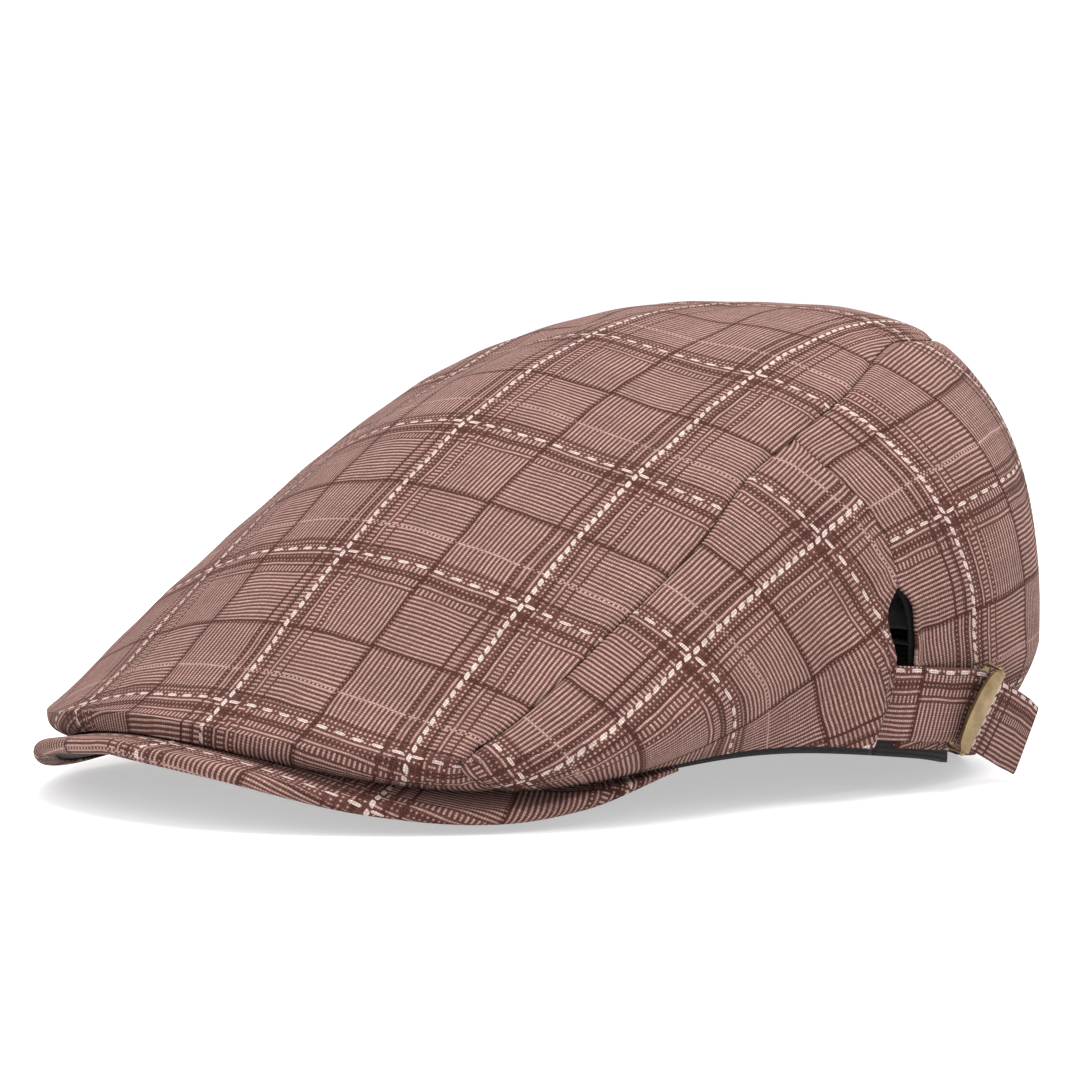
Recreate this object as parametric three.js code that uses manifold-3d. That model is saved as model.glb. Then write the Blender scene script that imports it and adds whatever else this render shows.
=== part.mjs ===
// Flat cap with a stiff brim and a side strap, as separate pieces. Millimetres.
// +Z is up, -Y is the front of the cap, +X is the wearer's left.
// Every cloth panel is a thin shell on one crown surface. A point on that surface is named by
// psi, degrees round from the front, and t: 0 at the apex, 1 at the widest line, 2 at the rim.
import * as THREE from 'three';
import { mergeVertices } from 'three/addons/utils/BufferGeometryUtils.js';
import Module from 'manifold-3d';

const wasm = await Module();
wasm.setup();

const RAD = Math.PI / 180;

// Crown, sampled every 30 degrees from the front (0) to the back (180)
const CROWN = {
  wide: [138, 134, 115, 102, 116, 117, 119],        // radius of the widest line
  wideZ: [23.5, 17.5, 26, 33, 32, 41, 54],          // its height
  spread: [2.3, 2.1, 2.1, 2.4, 2.95, 3.0, 2.6],     // how square the plan section is
  dome: [0.8, 0.9, 1.2, 2.0, 2.5, 2.45, 2.0],       // how full the side section is
  rim: [138, 125, 98, 97, 102, 101, 99],            // radius of the rim
  rimZ: [19, 9.8, 12, 13, 6.5, -0.5, -1],           // its height, cut off flat at 0
};
const APEX = { y: 63, z: 117.5 };
const TUCK = 1.4;                                    // how late the cloth turns in to the rim

// Lining dome, same kind of keys, hung inside the crown from the top of the sweatband
const LINING = {
  wide: [95, 93.5, 90, 91, 98, 100, 101],
  wideZ: [47, 46, 44, 45, 43, 44, 46],
  spread: [2.0, 2.0, 2.0, 2.2, 2.5, 2.5, 2.2],
  dome: [1.1, 1.1, 1.3, 1.7, 2.0, 2.0, 1.7],
  rim: [94.5, 93, 88.5, 89, 94, 96, 96],
  rimZ: [45.6, 43.6, 40.6, 41, 35.6, 31.6, 31.6],
};
const LINING_APEX = { y: 50, z: 108 };
const LINING_SEAM = 0.56;                            // t of the seam round the lining's top
const LINING_ROWS = [LINING_SEAM, 0.68, 0.8, 0.9, 1, 1.5, 2];
const LINING_NOTCH = { from: 86, to: 101, below: 0.9 };

const CLOTH = 1.0;          // crown cloth, with its interlining
const LINING_CLOTH = 0.6;
const GAP = 0.4;            // between the edges of two panels
const COLUMN = 6;           // degrees between the top panel's columns
const LIP_ROWS = 18;        // rows down the lip and the side panels

// Seam between the top panel and the side and rear panels: [psi, t]
const TOP_SEAM = [[36, 0.875], [42, 0.75], [48.5, 0.665], [59, 0.6], [67, 0.545], [78, 0.525],
  [91.5, 0.475], [106, 0.36], [113, 0.325], [124, 0.33], [150, 0.36], [180, 0.42]];
const LIP_PSI = 36;         // the top panel's lip ends here on each side
const LIP_SEAM = [[0.875, 36], [1.0, 35.2], [1.4, 35.3], [2, 37.5]];              // [t, psi]
const SIDE_SEAM = [[0.53, 78], [0.55, 79], [0.64, 85], [0.71, 89.5], [0.805, 93], [0.88, 93.8]];
const SIDE_PSI = 78;        // the side seam meets the top seam here
const KEYHOLE = { psi: 93.8, half: 2.7, top: 0.88, shoulder: 0.955 };
const FACING = { from: 0.25, to: 1.6, tip: 0.016, end: 0.985, thick: 0.7, under: 0.8 };
const TAPE = { half: 2.2, top: 0.5, end: 0.97, thick: 0.5, under: 0.7 };

// Brim: outer and inner outline of its upper face, [psi, value]
const BRIM_OUT = [[0, 149], [13, 147], [26, 138], [39, 126], [52, 109], [60, 98.6]];
const BRIM_OUT_Z = [[0, 19], [13, 15.4], [26, 8], [39, 5.3], [52, 9.4], [60, 11.3]];
const BRIM_IN = [[0, 97.6], [26, 95.6], [39, 93.6], [52, 92.4], [60, 92.4]];
const BRIM_IN_Z = [[0, 22.5], [26, 19.5], [39, 17], [52, 14.5], [60, 13.2]];
const BRIM_PSI = 60;        // the upper cover's end on each side
const BRIM_INNER_PSI = 57;  // the board's and the lower cover's
const BRIM_UNDER_RIM = 0.5;
const BRIM_COVER = 0.8;
const BRIM_BOARD = 1.6;
const BRIM_GAP = 0.3;
const COVER_BACK = { edge: 0, head: 0.2 };          // each layer's set back from the brim's outline
const BOARD_BACK = { edge: 1.2, head: 1 };
const UNDER_BACK = { edge: 0.6, head: 2.2 };

// Sweatband
const BAND = [96.4, 94.6, 89.6, 88.6, 93.6, 95.6, 95.6];    // outer radius, every 30 degrees
const BAND_THICK = 1.2;
const BAND_TALL = 28;
const BAND_BELOW = 2.6;     // how far it shows below the rim at the sides
const BAND_ABOVE = 1.4;     // how far it clears the rim at the front
const BAND_MIN_Z = 0.3;
const BAND_PSI = [-261, 90];                        // open at the keyhole
const LABEL = { half: 9, low: 8, tall: 13, thick: 0.5, gap: 0.3 };

// Strap and buckle, laid out in a frame of their own at the middle of the strap's arc
const STRAP = {
  centre: [13.8, 30, 21.2], tilt: 5, radius: 91, lean: 14, width: 18.6, thick: 1.6,
  start: -25, arcEnd: 3, tail: 29, tailRadius: 170, droop: 17, bend: 5, slant: 2.4, slantFrom: 0.85,
};
const BUCKLE = {
  at: 0.6, long: 23.6, plate: 0.7, under: 0.45, depth: 8, ear: 0.8, earR: 1.5, pinR: 0.6, play: 0.25,
  leverDepth: 5.6, leverThick: 0.9, arch: 0.7, dip: 0.5, hubR: 1.3, pinOut: 2.5, pinBack: 2,
};
const TAB = { from: 106, to: 110, top: 1.32, end: 1.6, low: 0.65, high: 1 };
// Where the left panels leave the crown surface: out over the strap's end, in behind the strap
const FLARE = { out: 3.6, from: 81, to: 90.5, top: 46, full: 33 };
const PRESS = { in: 1.6, from: 97, to: 99.5, back: 118, end: 126, top: 50, full: 36 };
const ROLL_FROM_T = 0.8;    // both only below this line

const COLOURS = {
  plaid: [0x7d5f59, 0.92], lining: [0x2e2a2b, 0.8], band: [0x161415, 0.85], board: [0xd8d6cf, 0.6],
  under: [0x3b302d, 0.9], brass: [0x8c7346, 0.4], tape: [0x201c1d, 0.85], label: [0xcfc8bb, 0.8],
};

// ---------------------------------------------------------------- curves

// Even periodic curve through values at equal steps from 0 to 180 degrees
function around(values, psi) {
  const n = values.length - 1;
  const weight = (k) => (k === 0 || k === n ? 0.5 : 1);
  let sum = 0;
  for (let k = 0; k <= n; k++) {
    let coefficient = 0;
    for (let j = 0; j <= n; j++) {
      coefficient += weight(j) * values[j] * Math.cos(Math.PI * k * j / n);
    }
    sum += weight(k) * (2 / n) * Math.cos(k * psi * RAD) * coefficient;
  }
  return sum;
}

// Smooth curve through [x, y] points
function along(points, x) {
  const last = points.length - 1;
  const next = points.findIndex((point) => point[0] > x);
  const i = next < 0 ? last - 1 : Math.max(next - 1, 0);
  const slope = (j) => {
    const a = points[Math.max(j - 1, 0)];
    const b = points[Math.min(j + 1, last)];
    return (b[1] - a[1]) / (b[0] - a[0]);
  };
  const h = points[i + 1][0] - points[i][0];
  const u = (x - points[i][0]) / h;
  return points[i][1] * (1 + 2 * u) * (1 - u) ** 2 + h * slope(i) * u * (1 - u) ** 2
    + points[i + 1][1] * u * u * (3 - 2 * u) - h * slope(i + 1) * u * u * (1 - u);
}

const mix = (a, b, u) => a + (b - a) * u;
const smooth = (u) => THREE.MathUtils.smoothstep(u, 0, 1);
const steps = (n) => Array.from({ length: n + 1 }, (_, i) => i / n);
const polar = (radius, psi, z) => {
  return new THREE.Vector3(radius * Math.sin(psi * RAD), -radius * Math.cos(psi * RAD), z);
};

// ---------------------------------------------------------------- surfaces

// A dome with a turned-in rim, from seven keys round each side
function domePoint(keys, apex, psi, t) {
  const at = (name) => around(keys[name], Math.abs(psi));
  const wide = at('wide');
  const wideZ = at('wideZ');
  if (t <= 1) {
    const up = t * Math.PI / 2;
    const rho = Math.sin(up) ** (2 / at('spread'));
    const rise = Math.max(Math.cos(up), 0) ** (2 / at('dome'));
    const edge = polar(wide, psi, 0);
    return new THREE.Vector3(edge.x * rho, mix(apex.y, edge.y, rho), mix(wideZ, apex.z, rise));
  }
  const u = t - 1;
  const rimZ = Math.max(at('rimZ'), 0);
  return polar(wide - (wide - at('rim')) * u ** TUCK, psi, wideZ - (wideZ - rimZ) * u);
}

const crown = (psi, t) => domePoint(CROWN, APEX, psi, t);
const lining = (psi, t) => domePoint(LINING, LINING_APEX, psi, t);

// The left side panel rolls out over the strap towards the keyhole
function flaredCrown(psi, t) {
  const p = crown(psi, t);
  const round = smooth((psi - FLARE.from) / (FLARE.to - FLARE.from));
  const low = t > ROLL_FROM_T ? smooth((FLARE.top - p.z) / (FLARE.top - FLARE.full)) : 0;
  return p.add(polar(FLARE.out * round * low, psi, 0));
}

// The left rear panel is pressed in a little by the strap
function pressedCrown(psi, t) {
  const p = crown(psi, t);
  const round = smooth((psi - PRESS.from) / (PRESS.to - PRESS.from))
    * smooth((PRESS.end - psi) / (PRESS.end - PRESS.back));
  const low = t > ROLL_FROM_T ? smooth((PRESS.top - p.z) / (PRESS.top - PRESS.full)) : 0;
  return p.add(polar(-PRESS.in * round * low, psi, 0));
}

// Outward direction of a surface given as f(psi, t)
function outward(f, psi, t) {
  if (t < 1e-6) return new THREE.Vector3(0, 0, 1);
  const a = f(psi + 0.4, t).sub(f(psi - 0.4, t));
  const b = f(psi, Math.min(t + 0.01, 2)).sub(f(psi, t - 0.01));
  return b.cross(a).normalize();
}

const offset = (f, psi, t, by) => f(psi, t).addScaledVector(outward(f, psi, t), by);

// ---------------------------------------------------------------- solids

const pointKey = (p) => [p.x, p.y, p.z].map((v) => Math.round(v * 2e4)).join(',');

// Closed shell between two faces. cells are lists of four corners {top, bottom}, in order round.
function shell(cells) {
  const index = new Map();
  const tops = [];
  const bottoms = [];
  const vertex = (corner) => {
    const key = pointKey(corner.top);
    if (!index.has(key)) {
      index.set(key, tops.length);
      tops.push(corner.top);
      bottoms.push(corner.bottom);
    }
    return index.get(key);
  };
  const faces = [];
  const edges = new Set();
  const addFace = (a, b, c) => {
    if (a === b || b === c || c === a) return;
    faces.push([a, b, c]);
    [[a, b], [b, c], [c, a]].forEach(([p, q]) => edges.add(`${p},${q}`));
  };
  cells.forEach((cell) => {
    const [a, b, c, d] = cell.map(vertex);
    addFace(a, b, c);
    addFace(a, c, d);
  });
  const n = tops.length;
  const triangles = [];
  faces.forEach(([a, b, c]) => triangles.push([a, b, c], [n + c, n + b, n + a]));
  edges.forEach((edge) => {
    const [p, q] = edge.split(',').map(Number);
    if (!edges.has(`${q},${p}`)) triangles.push([q, p, n + p], [q, n + p, n + q]);
  });
  return facingOut([...tops, ...bottoms], triangles);
}

// Turns a closed triangle list so that its faces point out
function facingOut(points, triangles) {
  const volume = triangles.reduce((sum, [a, b, c]) => {
    return sum + points[a].dot(new THREE.Vector3().crossVectors(points[b], points[c]));
  }, 0);
  const order = volume > 0 ? triangles : triangles.map(([a, b, c]) => [c, b, a]);
  const geometry = new THREE.BufferGeometry();
  const places = points.flatMap((p) => p.toArray());
  geometry.setAttribute('position', new THREE.Float32BufferAttribute(places, 3));
  geometry.setIndex(order.flat());
  return geometry;
}

// Cells of a grid: corner(u, v) for u in us and v in vs
function gridCells(us, vs, corner) {
  const grid = us.map((u) => vs.map((v) => corner(u, v)));
  const cells = [];
  for (let i = 0; i + 1 < us.length; i++) {
    for (let j = 0; j + 1 < vs.length; j++) {
      cells.push([grid[i][j], grid[i + 1][j], grid[i + 1][j + 1], grid[i][j + 1]]);
    }
  }
  return cells;
}

// Corner of a cloth panel whose outer face lies `out` from surface f
function clothCorner(f, psi, t, thick = CLOTH, out = 0) {
  const top = offset(f, psi, t, out);
  const bottom = offset(f, psi, t, out - thick);
  if (t >= 2) bottom.z = top.z;
  return { top, bottom };
}

// Half a gap, as a step in t or in psi at one place on the crown
function gapInT(psi, t) {
  return 0.5 * GAP * 0.01 / crown(psi, t).distanceTo(crown(psi, t - 0.01));
}

function gapInPsi(psi, t) {
  return 0.5 * GAP * 0.5 / crown(psi, t).distanceTo(crown(psi + 0.5, t));
}

// Top seam, straight between whole columns so that the panels on both sides share it
function seamT(psi) {
  const column = Math.max(Math.abs(psi), LIP_PSI) / COLUMN;
  const low = Math.min(Math.floor(column + 1e-9), 180 / COLUMN - 1);
  return mix(along(TOP_SEAM, low * COLUMN), along(TOP_SEAM, (low + 1) * COLUMN), column - low);
}

// ---------------------------------------------------------------- crown panels

function topPanel() {
  const columns = steps(360 / COLUMN).map((u) => 360 * u - 180);
  const edgeT = (psi) => {
    const t = seamT(psi);
    return Math.abs(psi) > LIP_PSI ? t - gapInT(psi, t) : t;
  };
  const dome = gridCells(columns, steps(8), (psi, r) => clothCorner(crown, psi, r * edgeT(psi)));
  const lipColumns = columns.filter((psi) => Math.abs(psi) <= LIP_PSI);
  const lipRows = steps(LIP_ROWS).map((v) => mix(seamT(0), 2, v));
  const lip = gridCells(lipColumns, lipRows, (psi, t) => {
    const edge = along(LIP_SEAM, t) - (t > lipRows[0] ? gapInPsi(LIP_PSI, t) : 0);
    return clothCorner(crown, psi * edge / LIP_PSI, t);
  });
  return shell([...dome, ...lip]);
}

// A panel bounded by the top seam, the rim and two side edges; side is +1 left, -1 right
function wallPanel(surface, side, fromPsi, toPsi, startEdge, endEdge, columns, rows) {
  const top = (u) => {
    const psi = mix(fromPsi, toPsi, u);
    const t = seamT(psi);
    return [psi, t + gapInT(psi, t)];
  };
  const bottom = (u) => [mix(startEdge(2), endEdge(2), u), 2];
  const left = (v) => {
    const t = mix(top(0)[1], 2, v);
    return [startEdge(t), t];
  };
  const right = (v) => {
    const t = mix(top(1)[1], 2, v);
    return [endEdge(t), t];
  };
  const blend = (u, v, k) => {
    const flat = (1 - v) * top(u)[k] + v * bottom(u)[k] + (1 - u) * left(v)[k] + u * right(v)[k];
    const corners = (1 - u) * (1 - v) * left(0)[k] + u * (1 - v) * right(0)[k]
      + (1 - u) * v * left(1)[k] + u * v * right(1)[k];
    return flat - corners;
  };
  return shell(gridCells(steps(columns), steps(rows), (u, v) => {
    const psi = blend(u, v, 0);
    const t = v === 1 ? 2 : blend(u, v, 1);
    return clothCorner(surface, psi * side, t);
  }));
}

// Keyhole's half width in degrees at height t, round at its top
function keyholeHalf(t) {
  const u = (t - KEYHOLE.top) / (KEYHOLE.shoulder - KEYHOLE.top);
  return KEYHOLE.half * Math.sqrt(1 - (1 - THREE.MathUtils.clamp(u, 0, 1)) ** 2);
}

function sideEdge(t, way, hasKeyhole) {
  const psi = along(SIDE_SEAM, Math.min(t, KEYHOLE.top));
  const hole = hasKeyhole ? keyholeHalf(t) : 0;
  return psi + way * Math.max(hole, gapInPsi(psi, t));
}

const LIP_GAP = 3 * gapInPsi(LIP_PSI, 1);
const SIDE_GAP = gapInPsi(SIDE_PSI, SIDE_SEAM[0][0]);
const BACK_PSI = 180 - gapInPsi(180, 1);
const lipEdge = (t) => along(LIP_SEAM, Math.max(t, LIP_SEAM[0][0])) + LIP_GAP;

function sidePanel(side) {
  const left = side > 0;
  return wallPanel(left ? flaredCrown : crown, side, LIP_PSI + LIP_GAP, SIDE_PSI - SIDE_GAP,
    lipEdge, (t) => sideEdge(t, -1, left), 14, LIP_ROWS);
}

function rearPanel(side) {
  const left = side > 0;
  return wallPanel(left ? pressedCrown : crown, side, SIDE_PSI + SIDE_GAP, BACK_PSI,
    (t) => sideEdge(t, 1, left), () => BACK_PSI, 17, LIP_ROWS);
}

// Turned edge of cloth behind the keyhole: an arch round its top and down both sides
function keyholeFacing() {
  const arch = (a, wide) => {
    const cap = Math.min(Math.abs(a), 1);
    const across = Math.sign(a) * Math.sin(cap * Math.PI / 2) * (KEYHOLE.half + wide);
    const tip = KEYHOLE.top - wide * FACING.tip;
    const t = Math.abs(a) <= 1 ? mix(tip, KEYHOLE.shoulder, 1 - Math.cos(cap * Math.PI / 2))
      : mix(KEYHOLE.shoulder, FACING.end, Math.abs(a) - 1);
    return [KEYHOLE.psi + across, t];
  };
  const widths = steps(2).map((u) => mix(FACING.from, FACING.to, u));
  return shell(gridCells(steps(20).map((u) => mix(-2, 2, u)), widths, (a, wide) => {
    const [psi, t] = arch(a, wide);
    return clothCorner(crown, psi, t, FACING.thick, -CLOTH - FACING.under);
  }));
}

// Tape over the centre-back seam, inside
function rearTape() {
  const across = steps(4).map((u) => mix(-TAPE.half, TAPE.half, u));
  const down = steps(10).map((u) => mix(TAPE.top, TAPE.end, u));
  return shell(gridCells(across, down, (a, t) => {
    return clothCorner(crown, 180 + a, t, TAPE.thick, -CLOTH - TAPE.under);
  }));
}

// ---------------------------------------------------------------- brim

// Upper face of the brim: w is 0 at the head opening and 1 at the outer edge. It passes under the rim.
function brimTop(psi, w) {
  const a = Math.abs(psi);
  const inner = along(BRIM_IN, a);
  const outer = along(BRIM_OUT, a);
  const rimW = (around(CROWN.rim, a) - inner) / (outer - inner);
  const rimZ = around(CROWN.rimZ, a) - BRIM_UNDER_RIM;
  const z = w < rimW ? mix(along(BRIM_IN_Z, a), rimZ, w / rimW)
    : mix(rimZ, along(BRIM_OUT_Z, a), (w - rimW) / (1 - rimW));
  return polar(mix(inner, outer, w), psi, z);
}

function brimOut(psi, w) {
  const a = brimTop(psi + 0.4, w).sub(brimTop(psi - 0.4, w));
  const b = brimTop(psi, w + 0.02).sub(brimTop(psi, Math.max(w - 0.02, 0)));
  return b.cross(a).normalize();
}

// One layer of the brim, `depth` below the upper face and set back from both edges, in mm
function brimLayer(depth, thick, back, reach) {
  return shell(gridCells(steps(28).map((u) => mix(-reach, reach, u)), steps(6), (psi, v) => {
    const wide = along(BRIM_OUT, Math.abs(psi)) - along(BRIM_IN, Math.abs(psi));
    const w = mix(back.head / wide, 1 - back.edge / wide, v);
    const point = brimTop(psi, w);
    const up = brimOut(psi, Math.max(w, 0.1));
    return {
      top: point.clone().addScaledVector(up, -depth),
      bottom: point.clone().addScaledVector(up, -depth - thick),
    };
  }));
}

// ---------------------------------------------------------------- inside

function bandBottom(psi) {
  const a = Math.abs(psi);
  const side = THREE.MathUtils.smoothstep(a, 40, 62) - THREE.MathUtils.smoothstep(a, 125, 150);
  const rim = Math.max(around(CROWN.rimZ, a), 0);
  const front = 1 - THREE.MathUtils.smoothstep(a, 20, 62);
  return Math.max(rim - BAND_BELOW * side + BAND_ABOVE * front, BAND_MIN_Z);
}

// Sweatband: a strip round the head opening, open where the keyhole lets the cap draw in
function sweatband() {
  return shell(gridCells(steps(64).map((u) => mix(...BAND_PSI, u)), [0, 0.5, 1], (psi, v) => {
    const round = Math.abs(THREE.MathUtils.euclideanModulo(psi + 180, 360) - 180);
    const z = bandBottom(round) + BAND_TALL * v;
    const radius = around(BAND, round);
    return { top: polar(radius, psi, z), bottom: polar(radius - BAND_THICK, psi, z) };
  }));
}

function sizeLabel() {
  return shell(gridCells(steps(6).map((u) => mix(-LABEL.half, LABEL.half, u)), [0, 1], (a, v) => {
    const radius = around(BAND, 180 - Math.abs(a)) - BAND_THICK - LABEL.gap;
    const z = LABEL.low + LABEL.tall * v;
    return { top: polar(radius, 180 + a, z), bottom: polar(radius - LABEL.thick, 180 + a, z) };
  }));
}

function liningTop() {
  return shell(gridCells(steps(36).map((u) => mix(-180, 180, u)), steps(5), (psi, r) => {
    return clothCorner(lining, psi, r * LINING_SEAM, LINING_CLOTH);
  }));
}

// Half of the lining's wall. The left half is notched for the keyhole.
function liningWall(side) {
  const us = steps(30).map((u) => mix(0.25, 179.75, u));
  const vs = LINING_ROWS.map((t) => (t === LINING_SEAM ? t + 0.003 : t));
  const { from, to, below } = LINING_NOTCH;
  const notch = (psi, t) => side > 0 && psi > from && psi < to && t > below;
  const cells = [];
  for (let i = 0; i + 1 < us.length; i++) {
    for (let j = 0; j + 1 < vs.length; j++) {
      if (!notch((us[i] + us[i + 1]) / 2, (vs[j] + vs[j + 1]) / 2)) {
        cells.push(...gridCells(us.slice(i, i + 2), vs.slice(j, j + 2), (psi, t) => {
          return clothCorner(lining, psi * side, t, LINING_CLOTH);
        }));
      }
    }
  }
  return shell(cells);
}

// ---------------------------------------------------------------- strap and buckle

// Place, direction, width direction and outward direction at a distance from the strap's arc end
function strapFrames() {
  const frames = [];
  const total = (STRAP.arcEnd - STRAP.start) * RAD * STRAP.radius + STRAP.tail;
  const count = 30;
  const step = total / count;
  const arc = total - STRAP.tail;
  const pin = (BUCKLE.at - STRAP.start) * RAD * STRAP.radius;
  const place = new THREE.Vector3(Math.cos(STRAP.start * RAD), Math.sin(STRAP.start * RAD), 0);
  place.multiplyScalar(STRAP.radius);
  for (let i = 0; i <= count; i++) {
    const s = i * step;
    const frame = strapAxes(headingAt(s, arc), droopAt(s - pin));
    frames.push({ place: place.clone(), ...frame });
    const middle = strapAxes(headingAt(s + step / 2, arc), droopAt(s + step / 2 - pin));
    place.addScaledVector(middle.along, step);
  }
  return frames;
}

const headingAt = (s, arc) => {
  return STRAP.start * RAD + Math.min(s, arc) / STRAP.radius + Math.max(s - arc, 0) / STRAP.tailRadius;
};
const droopAt = (fromPin) => STRAP.droop * RAD * smooth((fromPin + STRAP.bend) / (2 * STRAP.bend));

// Axes of the leaning strap for a heading and a droop
function strapAxes(heading, droop) {
  const lean = STRAP.lean * RAD;
  const radial = new THREE.Vector3(Math.cos(heading), Math.sin(heading), 0);
  const forward = new THREE.Vector3(-Math.sin(heading), Math.cos(heading), 0);
  const up = new THREE.Vector3(0, 0, Math.cos(lean)).addScaledVector(radial, Math.sin(lean));
  const out = radial.clone().multiplyScalar(Math.cos(lean)).add(new THREE.Vector3(0, 0, -Math.sin(lean)));
  return {
    along: forward.clone().multiplyScalar(Math.cos(droop)).addScaledVector(up, -Math.sin(droop)),
    across: up.clone().multiplyScalar(Math.cos(droop)).addScaledVector(forward, Math.sin(droop)),
    out,
  };
}

// Strap and tail in one strip; the tail's end is cut on a slant
function strap() {
  const frames = strapFrames();
  const half = STRAP.width / 2;
  const last = frames.length - 1;
  const across = [-1, 0, 1];
  return shell(gridCells(frames.map((_, i) => i), across, (i, w) => {
    const slant = STRAP.slant * smooth((i / last - STRAP.slantFrom) / (1 - STRAP.slantFrom));
    const centre = frames[i].place.clone().addScaledVector(frames[i].across, w * half)
      .addScaledVector(frames[i].along, -slant * (w + 1) / 2);
    return {
      top: centre.clone().addScaledVector(frames[i].out, STRAP.thick / 2),
      bottom: centre.clone().addScaledVector(frames[i].out, -STRAP.thick / 2),
    };
  }));
}

// Prism along the buckle's long axis, with its outline in out and back
function prism(outline, low, high) {
  const shape = new THREE.Shape(outline.map(([out, back]) => new THREE.Vector2(out, back)));
  const geometry = new THREE.ExtrudeGeometry(shape, { depth: high - low, bevelEnabled: false });
  geometry.translate(0, 0, low);
  return geometry;
}

const circle = (out, back, r, sides = 16) => steps(sides).slice(0, sides).map((u) => {
  return [out + r * Math.cos(2 * Math.PI * u), back + r * Math.sin(2 * Math.PI * u)];
});

function toSolid(geometry) {
  const bare = geometry.clone();
  ['normal', 'uv'].filter((name) => bare.hasAttribute(name)).forEach((name) => bare.deleteAttribute(name));
  const merged = mergeVertices(bare);
  return new wasm.Manifold(new wasm.Mesh({
    numProp: 3,
    vertProperties: new Float32Array(merged.attributes.position.array),
    triVerts: new Uint32Array(merged.index.array),
  }));
}

function toGeometry(solid) {
  const mesh = solid.getMesh();
  const geometry = new THREE.BufferGeometry();
  geometry.setAttribute('position', new THREE.Float32BufferAttribute(mesh.vertProperties, 3));
  geometry.setIndex(Array.from(mesh.triVerts));
  return geometry;
}

// Frame bent from one strip: base plate behind the strap, an ear up at each end with a pin hole
function buckleFrame() {
  const b = BUCKLE;
  const half = b.long / 2;
  const floor = -STRAP.thick / 2 - b.under - b.plate;
  const top = floor + b.plate;
  const back = b.depth / 2;
  const plateOutline = [[floor, -back], [top, -back], [top, back], [floor, back]];
  const earRound = steps(8).map((u) => {
    const angle = Math.PI * (0.5 - u);
    return [b.pinOut + b.earR * Math.cos(angle), b.pinBack + b.earR * Math.sin(angle)];
  });
  const earOutline = [[floor + 0.1, b.pinBack + b.earR], ...earRound, [floor + 0.1, b.pinBack - b.earR]];
  const hole = toSolid(prism(circle(b.pinOut, b.pinBack, b.pinR + b.play), -half - 1, half + 1));
  const plate = toSolid(prism(plateOutline, -half, half));
  const ears = [-half, half - b.ear].map((low) => toSolid(prism(earOutline, low, low + b.ear)));
  return toGeometry(ears.reduce((solid, ear) => solid.add(ear), plate).subtract(hole));
}

function bucklePin() {
  return prism(circle(BUCKLE.pinOut, BUCKLE.pinBack, BUCKLE.pinR), -BUCKLE.long / 2, BUCKLE.long / 2);
}

// Thumb lever: a half-moon plate arched over the strap, with a hub that turns on the pin
function buckleLever() {
  const b = BUCKLE;
  const half = b.long / 2 - b.ear - b.play;
  const moon = shell(gridCells(steps(12).map((u) => mix(-half, half, u)), steps(4), (z, v) => {
    const round = 1 - (z / half) ** 2;
    const reach = b.leverDepth * Math.sqrt(0.16 + 0.84 * round);
    const back = b.pinBack - reach * v;
    const out = b.pinOut + b.pinR + b.play + 0.1 + b.arch * round * v - b.dip * v * v;
    return { top: new THREE.Vector3(out + b.leverThick, back, z), bottom: new THREE.Vector3(out, back, z) };
  }));
  const hub = toSolid(prism(circle(b.pinOut, b.pinBack, b.hubR), -half, half));
  const hole = toSolid(prism(circle(b.pinOut, b.pinBack, b.pinR + b.play), -half - 1, half + 1));
  return toGeometry(toSolid(moon).add(hub).subtract(hole));
}

// Woven tab that holds the buckle to the rear panel
function anchorTab() {
  const across = steps(4).map((u) => mix(TAB.from, TAB.to, u));
  const down = steps(4).map((u) => mix(TAB.top, TAB.end, u));
  return shell(gridCells(across, down, (psi, t) => {
    return { top: offset(pressedCrown, psi, t, TAB.high), bottom: offset(pressedCrown, psi, t, TAB.low) };
  }));
}

// ---------------------------------------------------------------- assembly

function piece(name, geometry, look) {
  const [color, roughness] = COLOURS[look];
  const metalness = look === 'brass' ? 1 : 0;
  const mesh = new THREE.Mesh(geometry, new THREE.MeshStandardMaterial({ color, roughness, metalness }));
  mesh.name = name;
  return mesh;
}

const boardDepth = BRIM_COVER + BRIM_GAP;
const underDepth = boardDepth + BRIM_BOARD + BRIM_GAP;
const cloth = new THREE.Group();
cloth.add(
  piece('crown_top_panel', topPanel(), 'plaid'),
  piece('side_panel_left', sidePanel(1), 'plaid'),
  piece('side_panel_right', sidePanel(-1), 'plaid'),
  piece('rear_panel_left', rearPanel(1), 'plaid'),
  piece('rear_panel_right', rearPanel(-1), 'plaid'),
  piece('keyhole_facing', keyholeFacing(), 'tape'),
  piece('rear_seam_tape', rearTape(), 'tape'),
  piece('brim_cover_top', brimLayer(0, BRIM_COVER, COVER_BACK, BRIM_PSI), 'plaid'),
  piece('brim_board', brimLayer(boardDepth, BRIM_BOARD, BOARD_BACK, BRIM_INNER_PSI), 'board'),
  piece('brim_cover_under', brimLayer(underDepth, BRIM_COVER, UNDER_BACK, BRIM_INNER_PSI), 'under'),
  piece('sweatband', sweatband(), 'band'),
  piece('size_label', sizeLabel(), 'label'),
  piece('lining_top', liningTop(), 'lining'),
  piece('lining_left', liningWall(1), 'lining'),
  piece('lining_right', liningWall(-1), 'lining'),
  piece('anchor_tab', anchorTab(), 'tape'),
);

// The strap's own frame, tilted a little so that the strap runs down towards the back
const strapFrame = new THREE.Group();
strapFrame.position.set(...STRAP.centre);
strapFrame.rotation.x = -STRAP.tilt * RAD;
strapFrame.add(piece('adjuster_strap', strap(), 'plaid'));

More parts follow.
